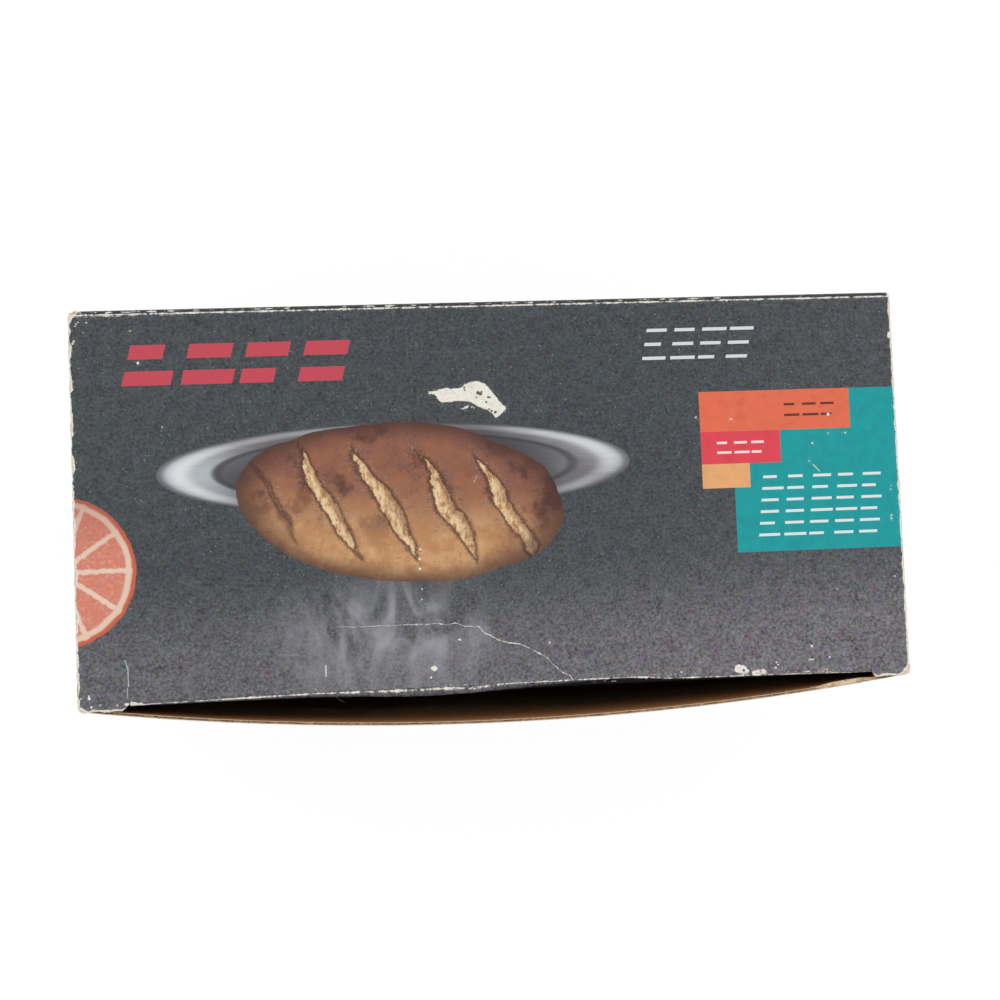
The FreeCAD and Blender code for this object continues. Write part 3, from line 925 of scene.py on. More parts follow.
# %% The lid's outline and warp
corner_crush = {(0, 0): 3.0, (1, 0): 3.2}
back_round = ((lid_left, 1, 3.4), (lid_right, -1, 1.6))
knock_reach = 10
left_ear_lean = 2.4
right_ear_lean = 1.2
lid_sag = 0.12


def knocked(x, y, u):
    """How far a point near the carton's knocked back corners is pushed in along x."""
    shift = np.zeros_like(x)
    for end, sign, reach in back_round:
        past = np.clip(y - (back_plane - reach), 0, reach)
        near = np.clip(1 - np.abs(u - end) / knock_reach, 0, 1)
        shift += sign * (reach - np.sqrt(reach ** 2 - past ** 2)) * near
    return shift


def crushed(u, v, low, high, reaches):
    """Round the corners of a rectangle: each corner square becomes a quarter disc."""
    for (right, back), reach in reaches.items():
        end_u = high[0] if right else low[0]
        end_v = high[1] if back else low[1]
        sign_u = 1 if right else -1
        sign_v = 1 if back else -1
        a = (u - (end_u - sign_u * reach)) * sign_u / reach
        b = (v - (end_v - sign_v * reach)) * sign_v / reach
        near = (a > 0) & (b > 0)
        a1 = np.clip(a, 0, 1)
        b1 = np.clip(b, 0, 1)
        u = np.where(near, end_u + sign_u * reach * (a1 * np.sqrt(1 - b1 * b1 / 2) - 1), u)
        v = np.where(near, end_v + sign_v * reach * (b1 * np.sqrt(1 - a1 * a1 / 2) - 1), v)
    return u, v


def lid_place(u, v, w):
    """Where a point of the lid lies: u to the right, v to the back, w down into the board."""
    near_left = smooth(u, lid_left + 1.5, lid_left)
    near_right = smooth(u, lid_right - 1.5, lid_right)
    near_ear = smooth(v, ear_front + 1.2, ear_front)
    down = np.clip((lid_front - 1.6 - v) / (lid_front - 1.6 - ear_front), 0, 1) ** 0.8
    left_ear = np.clip((u - left_slit + 9) / 9, 0, 1) * (u < left_slit + 1e-6)
    right_ear = np.clip((right_slit + 9 - u) / 9, 0, 1) * (u > right_slit - 1e-6)
    x, y = crushed(u, v, (lid_left, ear_front), (lid_right, lid_back), corner_crush)
    x = x - left_ear_lean * down * left_ear + right_ear_lean * down * right_ear
    x = x + near_left * ragged(v, 0.16, [(0.16, 6, 41)], 0, 0.5)
    x = x - near_right * ragged(v, 0.1, [(0.12, 8, 42)], 0, 0.4)
    y = y + near_ear * ragged(u, 0.16, [(0.2, 5, 43)], 0, 0.5)
    x = x + knocked(x, y, u)
    sag = lid_sag * (1 - (u / lid_right) ** 2) * smooth(v, ear_front, ear_front + 40)
    return np.stack([x, y, lid_high[2] - w - sag * smooth(v, lid_back, lid_back - 30)], axis=-1)


def lid_cells(us, vs):
    """The cells of the grid that are board: all but the place of the tuck fold between the ears."""
    u, v = np.meshgrid((us[:-1] + us[1:]) / 2, (vs[:-1] + vs[1:]) / 2, indexing="ij")
    return (v > lid_front) | (u < left_slit) | (u > right_slit)


print("lid from", [round(float(part), 1) for part in lid_low[:2]])

# %% [markdown]
# The medium's waves run from front to back. As a sine they have no hard edges, as paper that went
# through a corrugating roll has none. The printed sheet is finest round the torn patch.

# %% Lay the three papers
papers = {"printed_sheet": (print_sheet, "printed_sheet", "_print"),
          "fluted_medium": (medium_sheet, "fluted_medium", "_flute"),
          "liner_sheet": (liner_sheet, "kraft_liner", "_liner")}


def lay_paper(name, paper, node, grid, place, finish, body="tube", **more):
    """One of the three papers of a panel."""
    depth, slot, part = papers[paper]
    lay_sheet(f"{name}_{paper}", grid, depth, place, finish, slot, node + part, body=body, **more)


def waved(place, base=print_sheet, rise=flute_height):
    """Turn a place function into that of the medium, which waves in depth."""
    def wave(u, v, w):
        phase = u * 2 * math.pi / flute_pitch
        return place(u, v, base + w + (rise - medium_sheet) * (0.5 - 0.5 * np.cos(phase)))
    return wave


def inner(place):
    """Turn a place function into that of the liner."""
    return lambda u, v, w: place(u, v, w + print_sheet + flute_height)


def wave_places(low, high, *stops):
    return np.sort([*np.arange(low, high, flute_pitch / 8), high, *stops])


lid_stops = (left_slit, right_slit)
lid_us = spread(lid_left, lid_right, 1.15, 0.5, 6, lid_stops, (-26, 8))
lid_vs = spread(ear_front, lid_back, 1.15, 0.5, 6, (lid_front,), (27, 44))
sparse_us = spread(lid_left, lid_right, 8, 0.8, 4, lid_stops)
sparse_vs = spread(ear_front, lid_back, 12, 0.8, 4, (lid_front,))
lid_facts = {"wear": lid_wear, "torn": lid_torn, "crack": lid_crack}
on_lid = {"body": "lid", "keep": lid_cells}
lay_paper("lid", "printed_sheet", "lid", (lid_us, lid_vs), lid_place, lid_material, facts=lid_facts, **on_lid)
lay_paper("lid", "fluted_medium", "lid", (wave_places(lid_left, lid_right, *lid_stops), sparse_vs),
          waved(lid_place), medium[True], **on_lid)
lay_paper("lid", "liner_sheet", "lid", (sparse_us, sparse_vs), inner(lid_place), kraft[True, 0], **on_lid)

# %% [markdown]
# ## The print on the walls
#
# What the walls show isn't known, so they carry the ground with a plain band of colour that goes round
# the carton, blocks of the lid's colours, and a few rules. The band is worked out from the height, so it
# meets at every corner.

# %% The walls' print
wall_blocks = ((orange, (-128, 22), (-71, 52)), (rose, (-71, 22), (-41, 46)), (amber, (-41, 22), (-23, 40)))


def wall_picture(where):
    """All the ink of the walls and the base, by the place in millimetres."""
    x, y, height = where.axes()
    ends = 66 - y.size()
    inks = [(teal, (height - 31).size() - 9), (teal, bar(y, height, (-24, 146), (36, 240)).most(148 - x))]
    inks += [(colour, bar(x, height, low, high).most(ends)) for colour, low, high in wall_blocks]
    heading = rules(x, height, (-58, 118), 12, 2, 24, 5, 6.6, 0.2) * ends.inside()
    note = rules(x, height, (-48, 84), 6, 4, 12, 8, 1.5, 0.2) * ends.inside()
    color = flat_inks(where, charcoal_ground(where, height.rise(150, 0) * 0.2), inks)
    return where.coats(color, (red, heading), (ink(224, 226, 226), note))


def ground_only(where):
    return charcoal_ground(where, 0.1)


print("the band is 18 mm high")

# %% [markdown]
# ## Folds
#
# A fold is the board's crushed strip between two panels. It is laid as one thick sheet bent round a
# centre line: outside it is print, inside it is liner, and at its ends the crushed layers show. The ink
# cracks where the bend begins and ends, so its wear is ragged lines along it.

# %% Bend a strip of board


def axis_vector(values):
    return np.array(values, float)


def bent(centre, first, toward, axis, turn=quarter, dent=0.1, seed=50, swell=None, knock=False):
    """Place function of a fold: v runs along the arc from the first panel, u along its axis.

    Swell pushes the middle of the fold out, and knock rounds the carton's two back corners.
    """
    centre, first, toward, axis = map(axis_vector, (centre, first, toward, axis))

    def place(u, v, w):
        angle = np.clip(v / crease_radius, 0, turn)
        past = v - angle * crease_radius
        middle = np.sin(np.clip(angle / turn, 0, 1) * math.pi)
        pressed = dent * middle * (0.5 + 0.5 * np.clip(ripple(u, 7, seed), -1, 1))
        normal = np.cos(angle)[..., None] * first + np.sin(angle)[..., None] * toward
        along = -np.sin(angle)[..., None] * first + np.cos(angle)[..., None] * toward
        depth = crease_radius - w - pressed
        points = centre + u[..., None] * axis + normal * depth[..., None] + along * past[..., None]
        if swell:
            points += (swell(u) * middle ** 2)[..., None] * toward
        if knock:
            points[..., 0] += knocked(points[..., 0], points[..., 1], u)
        return points

    middle_normal = math.cos(turn / 2) * first + math.sin(turn / 2) * toward
    middle_along = -math.sin(turn / 2) * first + math.cos(turn / 2) * toward
    hinge = centre + middle_normal * crease_radius
    reach = (crease_radius - crushed_board) * math.sin(turn / 2)
    place.ends = [tuple((hinge + side * middle_along * reach) / 1000) for side in (-1, 1)]
    return place


def fold_wear(marks, seed, ends=(), burst=1.6, patches=0):
    """Distance to worn ink on a fold: marks is a list of (place along the arc, half width, raggedness).

    Patches makes long stretches of a line wear more and others less.
    """
    def wear(u, v):
        distances = [np.full_like(u, 9.0)]
        for place, width, rag in marks:
            at = seed + len(distances) - 1
            wide = width + rag * (ripple(u, 6, at) + 0.8 * ripple(u, 1.9, at + 10)) / 1.8
            wide = wide + patches * ripple(u, 30, at + 30)
            wander = patches * 0.5 * ripple(u, 45, at + 40)
            distances.append(np.abs(v - place - wander) - wide)
        for end in ends:
            distances.append(np.abs(u - end) - burst * (1 + 0.4 * ripple(v, 2, seed + 20)))
        return np.minimum.reduce(distances)
    return wear


print("a square fold is", round(arc, 2), "mm wide")

# %% [markdown]
# The finish of a fold shows all the layers by depth. Where the board turns, shade is painted into
# the print: the ink is darker there.

# %% The finish of a fold


def fold_finish(name, picture, painted_shade, specular=varnish):
    """The finish of a fold: print outside, kraft inside, crushed layers at its ends, and painted shade where
    it turns.
    """
    finish = Finish(name, specular)
    where = finish.place()
    deep = finish.stored("depth")
    rim = deep.rise(0.06, 0.16)
    color, bare = weathered(where, scuffed(where, picture(where)), finish.stored("wear"), rim)
    layers = (where * (0.4, 1, 1)).noise(0.35, 3, 0.7).rise(0.35, 0.65)
    # Painted shade: near-black ink where the fold turns, as strong as painted_shade says, none on bare paper.
    color = where.coats(color, (ink(12, 13, 15), finish.stored("turned") * (1 - bare) * painted_shade),
                        (where.coats(ink(148, 116, 84), (ink(204, 180, 150), layers)), deep.rise(0.1, 0.2)),
                        (kraft_color(where, where.axes()[0]), deep.rise(0.86, 0.97)))
    cracks = (where * (0.25, 1, 1)).noise(0.7, 3, 0.7) * bare * 0.12
    relief = where.noise(0.6, 4, 0.7) * 0.03 + cracks - bare * 0.05
    return finish.dress(color, bare.most(rim) * 0.36 + 0.46, relief)


def turned(u, v):
    """How far round a square fold a point is: 0 where it begins and ends, 1 at its middle."""
    return np.sin(np.clip(v / arc, 0, 1) * math.pi)


def lay_fold(name, grid, place, finish, node, wear, shade=turned, **moves):
    facts = {"wear": wear, "turned": shade}
    lay_sheet(name, grid, crushed_board, place, finish, "crushed_board", node, facts, **moves)


# The third number is the strength of each fold's painted shade. The tuck fold also has little shine, so its
# painted shade stays near black.
ground_fold = fold_finish("ground_fold_finish", lid_ground, 0.72)
shaded_fold = fold_finish("shaded_fold_finish", lid_ground, 0.97, 0.05)
wall_fold = fold_finish("wall_fold_finish", wall_picture, 0.25)
print("a fold's finish has", len(wall_fold.node_tree.nodes), "nodes")

# %% [markdown]
# The lid's fold and the tuck fold cross a joint, so neither is attached to a body: each is baked in
# place where it lies at rest.

# %% The lid's fold
fold_steps = 13
rear_centre = (0, back_plane - crease_radius, lid_high[2] - crease_radius)
fold_us = spread(lid_left, lid_right, 1.4, 0.5, 6)
fold_vs = np.array([*np.linspace(0, arc, fold_steps), arc + back_plane - crease_radius - lid_back])
busy_places = ((-82, 12), (-36, 14), (14, 20), (72, 22), (-125, 24))


def lid_fold_wear(u, v):
    """The fold's lines of wear, and bare paper at its two ends, more of it at the back."""
    near_lid = fold_wear([(arc - 0.2, 0.27, 0.15)], 60)(u, v)
    middle = fold_wear([(arc - 1.35, -0.25, 0.55)], 63)(u, v)
    middle = middle - sum(0.4 * hill(u, place, reach) for place, reach in busy_places)
    outer = fold_wear([(0.7, -0.1, 0.4)], 65)(u, v)
    back = 2 * np.sin(np.clip(v / crease_radius, 0, quarter) + quarter)
    left_end = u - lid_left - 1.5 - 0.9 * back * (1 + 0.5 * ripple(v, 2, 66))
    right_end = lid_right - u - 0.5 - 0.4 * ripple(v, 2, 67)
    return np.minimum.reduce([near_lid, middle, outer, left_end, right_end])


lid_bend = bent(rear_centre, (0, 1, 0), (0, 0, 1), (1, 0, 0), dent=0.34, seed=51, knock=True)
lay_fold("lid_fold_skin", (fold_us, fold_vs), lid_bend, ground_fold, "lid_crease", lid_fold_wear,
         between=("tube", "lid", *lid_bend.ends))

# %% [markdown]
# The tuck fold turns further, because the flap leans inwards. It has rolled outwards a little left of its
# middle, and the part that turns down is painted dark as shade.

# %% The tuck fold
tuck_turn = math.radians(105)
tuck_arc = tuck_turn * crease_radius


def tuck_swell(u):
    return 1.65 * hill(u, -27, 29)


def tuck_shade(u, v):
    """Painted shade on the part of the fold that turns down, least where it has rolled outwards."""
    line = np.interp(u, tuck_line_places, tuck_line_steps)
    return smooth(v - line, -0.1, 0.5 + 1.7 * smooth(u, 44, 0))


front_centre = (0, lid_front, lid_high[2] - crease_radius)
tuck_bend = bent(front_centre, (0, 0, 1), (0, -1, 0), (1, 0, 0), tuck_turn, 0.14, 52, tuck_swell)
tuck_us = spread(tuck_low[0], tuck_high[0], 0.9, 0.5, 4)
tuck_vs = np.array([*np.linspace(0, tuck_arc, 15), tuck_arc + 0.3])
lay_fold("tuck_fold_skin", (tuck_us, tuck_vs), tuck_bend, shaded_fold, "tuck_crease", tuck_line, tuck_shade,
         between=("lid", "tuck_flap", *tuck_bend.ends))

# %% [markdown]
# The dust flaps' folds cross a joint too. The corners and the base's folds don't move. A corner is knocked
# most, so its wear is one broad ragged line along the middle, and its ends are burst.

# %% The dust flaps' folds
dust_low, dust_high = box_mm("dust_creases")
dust_span = (dust_low[1], dust_high[1])
for side, sign in (("left", -1), ("right", 1)):
    centre = (sign * (dust_high[0] - crease_radius), 0, dust_low[2])
    dust_bend = bent(centre, (sign, 0, 0), (0, 0, 1), (0, 1, 0), seed=53 + sign)
    wear = fold_wear([(arc * 0.5, 0.05, 0.3)], 90 + sign, dust_span, 1, 0.4)
    lay_fold(f"dust_fold_skin_{side}", (spread(*dust_span, 1.6, 0.5, 4), fold_vs), dust_bend, wall_fold,
             "dust_creases", wear, between=("tube", f"dust_{side}", *dust_bend.ends))

# %% [markdown]
# The four corners stand upright. The right one at the back sits behind the glue tab, a little further in.

# %% The corners
corner_low, corner_high = box_mm("corner_creases")
glue_low, glue_high = box_mm("glue_tab_print")
corner_span = (corner_low[2], corner_high[2])
corner_vs = np.linspace(0, arc, fold_steps)
corner_x = corner_high[0] - crease_radius
corner_front = corner_low[1] + crease_radius
corners = {"front_left": (-1, corner_front), "front_right": (1, corner_front),
           "back_left": (-1, corner_high[1] - crease_radius), "back_right": (1, glue_high[1] - crease_radius)}
for order, (corner, (side, middle_y)) in enumerate(corners.items()):
    outward = math.copysign(1, middle_y)
    corner_bend = bent((side * corner_x, middle_y, 0), (0, outward, 0), (side, 0, 0), (0, 0, 1),
                       dent=0.16, seed=60 + order)
    wear = fold_wear([(arc * 0.5, 0, 0.3)], 100 + 7 * order, corner_span, 2.6, 0.6)
    lay_fold(f"corner_skin_{corner}", (spread(*corner_span, 1.5, 0.5, 6), corner_vs), corner_bend, wall_fold,
             "corner_creases", wear, body="tube")

# %% [markdown]
# The base's folds lie at three heights, because its flaps are folded one over another.

# %% The folds of the base
base_x = box_mm("bottom_outer_print")[1][0]
inner_foot = box_mm("bottom_inner_print")[0][2] + crease_radius
minor_low, minor_high = box_mm("bottom_minor_left_print")
minor_foot = minor_low[2] + crease_radius
base_folds = {"back": ((0, back_plane - crease_radius, crease_radius), (0, 1, 0), (1, 0, 0), base_x),
              "front": ((0, front_plane + crease_radius, inner_foot), (0, -1, 0), (1, 0, 0), base_x),
              "left": ((-corner_x, 0, minor_foot), (-1, 0, 0), (0, 1, 0), minor_high[1]),
              "right": ((corner_x, 0, minor_foot), (1, 0, 0), (0, 1, 0), minor_high[1])}
for order, (side, (centre, first, axis, half)) in enumerate(base_folds.items()):
    base_bend = bent(centre, first, (0, 0, -1), axis, seed=70 + order)
    wear = fold_wear([(arc * 0.4, 0.1, 0.3), (arc * 0.95, -0.1, 0.3)], 140 + 5 * order, (-half, half), 2, 0.6)
    lay_fold(f"base_fold_skin_{side}", (spread(-half, half, 1.8, 0.5, 5), corner_vs), base_bend, wall_fold,
             "bottom_creases", wear, body="tube")

# %% [markdown]
# ## The walls
#
# Walls that were leant on have shallow hollows, which stay inside the CAD model's box and fade out at the
# folds. Their borders are rubbed, and small chips are strewn over them.

# %% How a wall is pressed in
deepest_hollow = 2.2
wall_knocks = 5


def pressed_in(u, v, low, high, seed):
    """Depth in millimetres of a wall's shallow hollows and knocks."""
    draw = np.random.default_rng(seed)
    calm = smooth(np.minimum(u - low[0], high[0] - u), 2, 45)
    calm = calm * smooth(v - low[1], 2, 45) * smooth(high[1] - v, 2, 50)
    depth = 0.7 + 0.55 * ripple(u + 0.3 * v, 70, seed) + 0.45 * ripple(v - 0.2 * u, 60, seed + 1)
    for _ in range(wall_knocks):
        middle = draw.uniform(low[0] + 30, high[0] - 30)
        height = draw.uniform(low[1] + 25, high[1] - 35)
        radius = draw.uniform(7, 14)
        away = np.hypot((u - middle) * draw.uniform(0.6, 1.4), v - height)
        depth = depth + draw.uniform(0.3, 0.8) * hill(away, 0, radius)
    return calm * np.clip(depth, 0, deepest_hollow)


def border_wear(low, high, seed, raw=0):
    """Distance to the worn borders of a wall. Raw adds to the wear of its top."""
    def wear(u, v):
        ends = ragged(v, 0, [(0.4, 22, seed), (0.1, 4, seed + 1)], -0.4, 1.2)
        below = ragged(u, 0, [(0.4, 20, seed + 2), (0.1, 4, seed + 3)], -0.4, 1.2)
        above = ragged(u, raw, [(0.45, 24, seed + 4), (0.15, 5, seed + 5)], raw - 0.4, 1.6)
        beside = np.minimum(u - low[0], high[0] - u) - ends
        return np.minimum.reduce([beside, v - low[1] - below, high[1] - v - above])
    return wear


def board_print(finish, where, picture, edge, worn, rim, plane, axis, swell):
    """Print of a wall or flap. Plane picks the two axes along it, and axis the one across its flutes."""
    printed, chipped = handled(where, where * plane, edge, scuffed(where, picture(where)))
    color, bare = weathered(where, printed, worn.least(chipped), rim)
    relief = ribs(where.axes()[axis]) * 0.008 + where.noise(0.5, 3) * 0.012 + swell
    return finish.dress(color, bare.most(rim) * 0.36 + 0.46, relief - bare * 0.05)


def wall_finish(name, axis=0):
    """Finish of a wall's printed sheet, with its wear stored on its vertices."""
    finish = Finish(name, varnish)
    where = finish.place()
    worn = finish.stored("wear")
    plane = (1 - axis, axis, 1)
    rim = finish.stored("depth").rise(0.1, 0.3)
    return board_print(finish, where, wall_picture, worn, worn, rim, plane, axis, where.noise(30) * 0.7)


print("a wall is pressed in by", deepest_hollow, "mm at most")

# %% [markdown]
# The wall that the flap tucks behind has sprung outwards. Its foot is straight and its free edge is an
# arc, so every vertical line on it stays straight and only leans. The three papers have come a little
# apart at the raw edge: each ends at its own ragged height, and one stretch of liner has lifted.

# %% The bowed wall
wall_span = wall_high[0]
wall_foot = wall_low[2]
wall_top = wall_high[2]
arc_radius = (wall_span ** 2 + bow ** 2) / (2 * bow)
wall_ends = ((-wall_span, wall_foot), (wall_span, wall_top))
lifted_place = 127


def bowed_out(u):
    """How far the free edge stands out."""
    return np.sqrt(arc_radius ** 2 - u ** 2) - (arc_radius - bow)


def bowed(rag, seed, curl=0, sunk=0):
    """Place function of one paper of the bowed wall, from its own depth."""
    def place(u, v, w):
        share = (v - wall_foot) / (wall_top - wall_foot)
        near_top = smooth(v, wall_top - 4, wall_top)
        torn = rag * (0.5 + 0.5 * ragged(u, 0, [(1, 5, seed), (0.5, 1.7, seed + 1)], -1, 1))
        dip = 0.9 * hill(u, -81, 4.5) + 0.7 * hill(u, 96, 3)
        lifted = curl * hill(u, lifted_place, 9, 4) * smooth(v, wall_top - 7, wall_top) ** 2
        closed = board / 2 + (w - board / 2) * (1 - 0.3 * smooth(v, wall_top - 3, wall_top))
        out = closed - bowed_out(u) * share + lifted + pressed_in(u, v, *wall_ends, 190)
        return np.stack([u, front_plane + out, v - (torn + dip + sunk) * near_top], axis=-1)
    return place


def raw_edge(u, v):
    """Distance below the raw edge."""
    return wall_top - v + 0.25 * ripple(u, 4, 171)


def raw_liner_finish():
    """Kraft whose raw edge has gone pale and fibrous."""
    finish = Finish("raw_liner_finish", 0.2)
    where = finish.place()
    edge = finish.stored("edge") + (where.noise(0.8, 4, 0.7) - 0.5) * 1.2
    pale = where.coats(ink(196, 166, 132), (ink(226, 204, 174), where.noise(1, 3)))
    color = where.coats(kraft_color(where, where.axes()[0]), (ink(186, 116, 62), edge.rise(38, 4) * 0.7),
                        (pale, edge.rise(0.9, 0.3)))
    return finish.dress(color, where.noise(5) * 0.1 + 0.82, where.noise(0.5, 4, 0.75) * 0.05)


bow_grid = (spread(-wall_span, wall_span, 1.5, 0.5, 5), spread(wall_foot, wall_top, 4, 0.5, 5))
bow_outer = bowed(0.35, 150)
bow_inner = bowed(0.7, 154, curl=0.9)
lay_paper("bowed", "printed_sheet", "tuck_wall", bow_grid, bow_outer, wall_finish("bowed_print_finish"),
          facts={"wear": border_wear(*wall_ends, 160, 0.3)})
lay_paper("bowed", "fluted_medium", "tuck_wall",
          (wave_places(-wall_span, wall_span), spread(wall_foot, wall_top, 6, 0.7, 4)),
          waved(bowed(0.8, 152, sunk=0.7), print_sheet + 0.08, flute_height - 0.16), medium[True])
lay_paper("bowed", "liner_sheet", "tuck_wall", bow_grid, inner(bow_inner), raw_liner_finish(),
          facts={"edge": raw_edge})

# %% [markdown]
# Between the two outer papers the tips of the waves have been rubbed down into a felt of fibres. It is a
# narrow strip with a lumpy top, cream where the lifted liner has pulled it out.

# %% The crushed edge of the waves


def felt_place(u, v, w):
    """A strip along the raw edge: v runs from the printed sheet, 0, to the liner, 1."""
    edge = np.full_like(u, wall_top)
    outside = bow_outer(u, edge, np.full_like(u, print_sheet))
    inside = bow_inner(u, edge, np.full_like(u, print_sheet + flute_height))
    points = outside + (inside - outside) * v[..., None]
    lumps = 0.2 * ripple(u + 3 * v, 1.7, 181) + 0.25 * ripple(u - 2 * v, 6.0, 182)
    sunk = np.clip(0.5 + lumps - 0.3 * hill(u, lifted_place, 9, 4), 0.08, 1.2)
    points[..., 2] = np.minimum(outside[..., 2], inside[..., 2]) - sunk - w
    return points


def felt_finish():
    finish = Finish("felt_finish", 0.15)
    where = finish.place()
    along = where.axes()[0]
    fibres = (where * (0.35, 1, 1)).noise(0.5, 4, 0.75)
    cream = along.rise(112, 119) * along.rise(141, 136) * fibres.rise(0.3, 0.5)
    color = where.coats(ink(112, 82, 56), (ink(206, 176, 140), fibres.rise(0.34, 0.6)),
                        (ink(238, 216, 180), cream * 0.9))
    return finish.dress(color, fibres * 0.1 + 0.84, fibres * 0.16)


felt_grid = (spread(-wall_span, wall_span, 0.8, 0.5, 3), np.linspace(0, 1, 7))
lay_sheet("crushed_wave_edge", felt_grid, 0.5, felt_place, felt_finish(), "fluted_medium", "tuck_wall_flute",
          body="tube")

# %% [markdown]
# The other three walls are flat. Their papers are laid again over a surface with hollows, all three over
# the same one. The glue tab holds a part of the hinge wall flat.

# %% The hinge wall and the side walls


def flat_wall(origin, across, inward, low, high, seed):
    """Place function of a wall: u runs across it, v up, and w into the board."""
    origin, across, inward = map(axis_vector, (origin, across, inward))

    def place(u, v, w):
        depth = w + pressed_in(u, v, low, high, seed)
        up = v[..., None] * axis_vector((0, 0, 1))
        return origin + u[..., None] * across + depth[..., None] * inward + up
    return place


side_plane = box_mm("left_wall_print")[0][0]
walls = {"hinge": (0, (0, back_plane, 0), (1, 0, 0), (0, -1, 0)),
         "left": (1, (side_plane, 0, 0), (0, 1, 0), (1, 0, 0)),
         "right": (1, (-side_plane, 0, 0), (0, 1, 0), (-1, 0, 0))}
wall_prints = [wall_finish(f"wall_print_{axis}", axis) for axis in (0, 1)]
for order, (side, (axis, *frame_of_wall)) in enumerate(walls.items()):
    seed = 200 + 20 * order
    low, high = ((corner[axis], corner[2]) for corner in box_mm(f"{side}_wall_print"))
    free = (glue_low[0], high[1]) if side == "hinge" else high
    place = flat_wall(*frame_of_wall, low, free, seed)
    grid = [spread(start, end, 3, 0.6, 5) for start, end in zip(low, high)]
    wave_grid = (wave_places(low[0], high[0]), spread(low[1], high[1], 6, 1.5, 3))
    worn = {"wear": border_wear(low, high, seed + 6)}
    wall = f"{side}_wall"
    lay_paper(wall, "printed_sheet", wall, grid, place, wall_prints[axis], facts=worn)
    lay_paper(wall, "fluted_medium", wall, wave_grid, waved(place), medium[True])
    lay_paper(wall, "liner_sheet", wall, grid, inner(place), kraft[True, axis])

# %% [markdown]
# ## Loose fibres
#
# Torn board is hairy. Each fibre is a thin three-sided tube that bends and tapers to a point. Its root is
# drawn along an edge, with a fixed seed, so that every run gives the same ones.

# %% Grow loose fibres
fibre_rings = 4


def fibre_finish():
    """Pale cellulose with tan roots here and there."""
    finish = Finish("fibre_finish", 0.2, 0.1)
    where = finish.place()
    tone = where.noise(1.6, 3, 0.7)
    color = where.coats(ink(190, 162, 128), (ink(240, 228, 206), tone.rise(0.38, 0.6)))
    return finish.dress(color, tone * 0.1 + 0.8, tone * 0.02)


fibre_material = fibre_finish()


def grow(name, count, root_of, seed, length, thickness, slot, body):
    """Fibres whose roots and directions come from root_of(draw), in millimetres."""
    draw = np.random.default_rng(seed)
    points = []
    faces = []
    for _ in range(count):
        root, aim = map(axis_vector, root_of(draw))
        reach = length * draw.uniform(0.35, 1.0)
        curl = draw.normal(0, 0.45, 3) * reach
        side = np.cross(aim, axis_vector(draw.normal(0, 1, 3)))
        side /= np.linalg.norm(side)
        other = np.cross(aim, side) / np.linalg.norm(aim)
        start = len(points)
        for ring in range(fibre_rings):
            share = ring / fibre_rings
            middle = root + aim * reach * share + curl * share ** 2
            radius = thickness * (1 - share) ** 0.6 * draw.uniform(0.8, 1.2)
            for corner in range(3):
                angle = corner * 2 * math.pi / 3 + share
                points.append(middle + radius * (math.cos(angle) * side + math.sin(angle) * other))
        points.append(root + aim * reach + curl)
        for low in range(start, start + fibre_rings * 3):
            low_next = low + 1 if (low - start) % 3 < 2 else low - 2
            last = low >= start + fibre_rings * 3 - 3
            faces.append((low, low_next, start + fibre_rings * 3) if last
                         else (low, low_next, low_next + 3, low + 3))
        faces.append((start + 2, start + 1, start))
    inside_low, inside_high = np.array(cad_bounds) * 1000 + [[0.02], [-0.02]]
    points = np.clip(points, inside_low, inside_high)
    mesh = bpy.data.meshes.new(name)
    mesh.from_pydata(points / 1000, [], faces)
    store(mesh, "rest", points, "FLOAT_VECTOR", "vector")
    hand_over(name, mesh, fibre_material, slot, [], body=body)


print("a fibre has", fibre_rings * 3 + 1, "points")

# %% [markdown]
# Fibres stand where the board is torn: at the lid's knocked corners and ears, and along the raw edge of
# the bowed wall, most of them where the liner has lifted. One long hair hangs into the gap.

# %% The four kinds of roots


def round_corner(middle_x, middle_y, reach, first, last):
    """Roots along a rounded corner, pointing outwards and mostly along it."""
    def root_of(draw):
        angle = math.radians(draw.uniform(first, last))
        outward = (math.cos(angle), math.sin(angle))
        along = draw.choice((-1, 1)) * draw.uniform(0.3, 1.2)
        depth = draw.uniform(0.15, board * 0.8)
        root = (middle_x + (reach - 0.25) * outward[0], middle_y + (reach - 0.25) * outward[1],
                lid_high[2] - depth)
        return root, (0.5 * outward[0] - along * outward[1], 0.5 * outward[1] + along * outward[0],
                      draw.uniform(-0.3, 0.1))
    return root_of


def ear_root(draw):
    lean = draw.normal(0, 0.5)
    x = draw.uniform(right_slit + 2, lid_right - 3)
    return (x, ear_front + 0.5, lid_high[2] - draw.uniform(0.1, 1.2)), (lean, -0.6, -0.1)


def raw_edge_root(draw):
    x = draw.uniform(-wall_span + 3, wall_span - 3) if draw.uniform() < 0.55 else draw.normal(lifted_place, 7)
    x = min(max(x, -wall_span + 3), wall_span - 3)
    inward = draw.uniform(0.2, board - 0.2)
    root = (x, front_plane - bowed_out(x) + inward, wall_top - 0.9)
    return root, (draw.normal(0, 0.9), draw.normal(0, 0.35), draw.uniform(0.3, 0.9))


def gap_hair_root(draw):
    return (-60.9, tuck_low[1] + 0.2, wall_top - 0.4), (0.7, -0.85, -0.1)


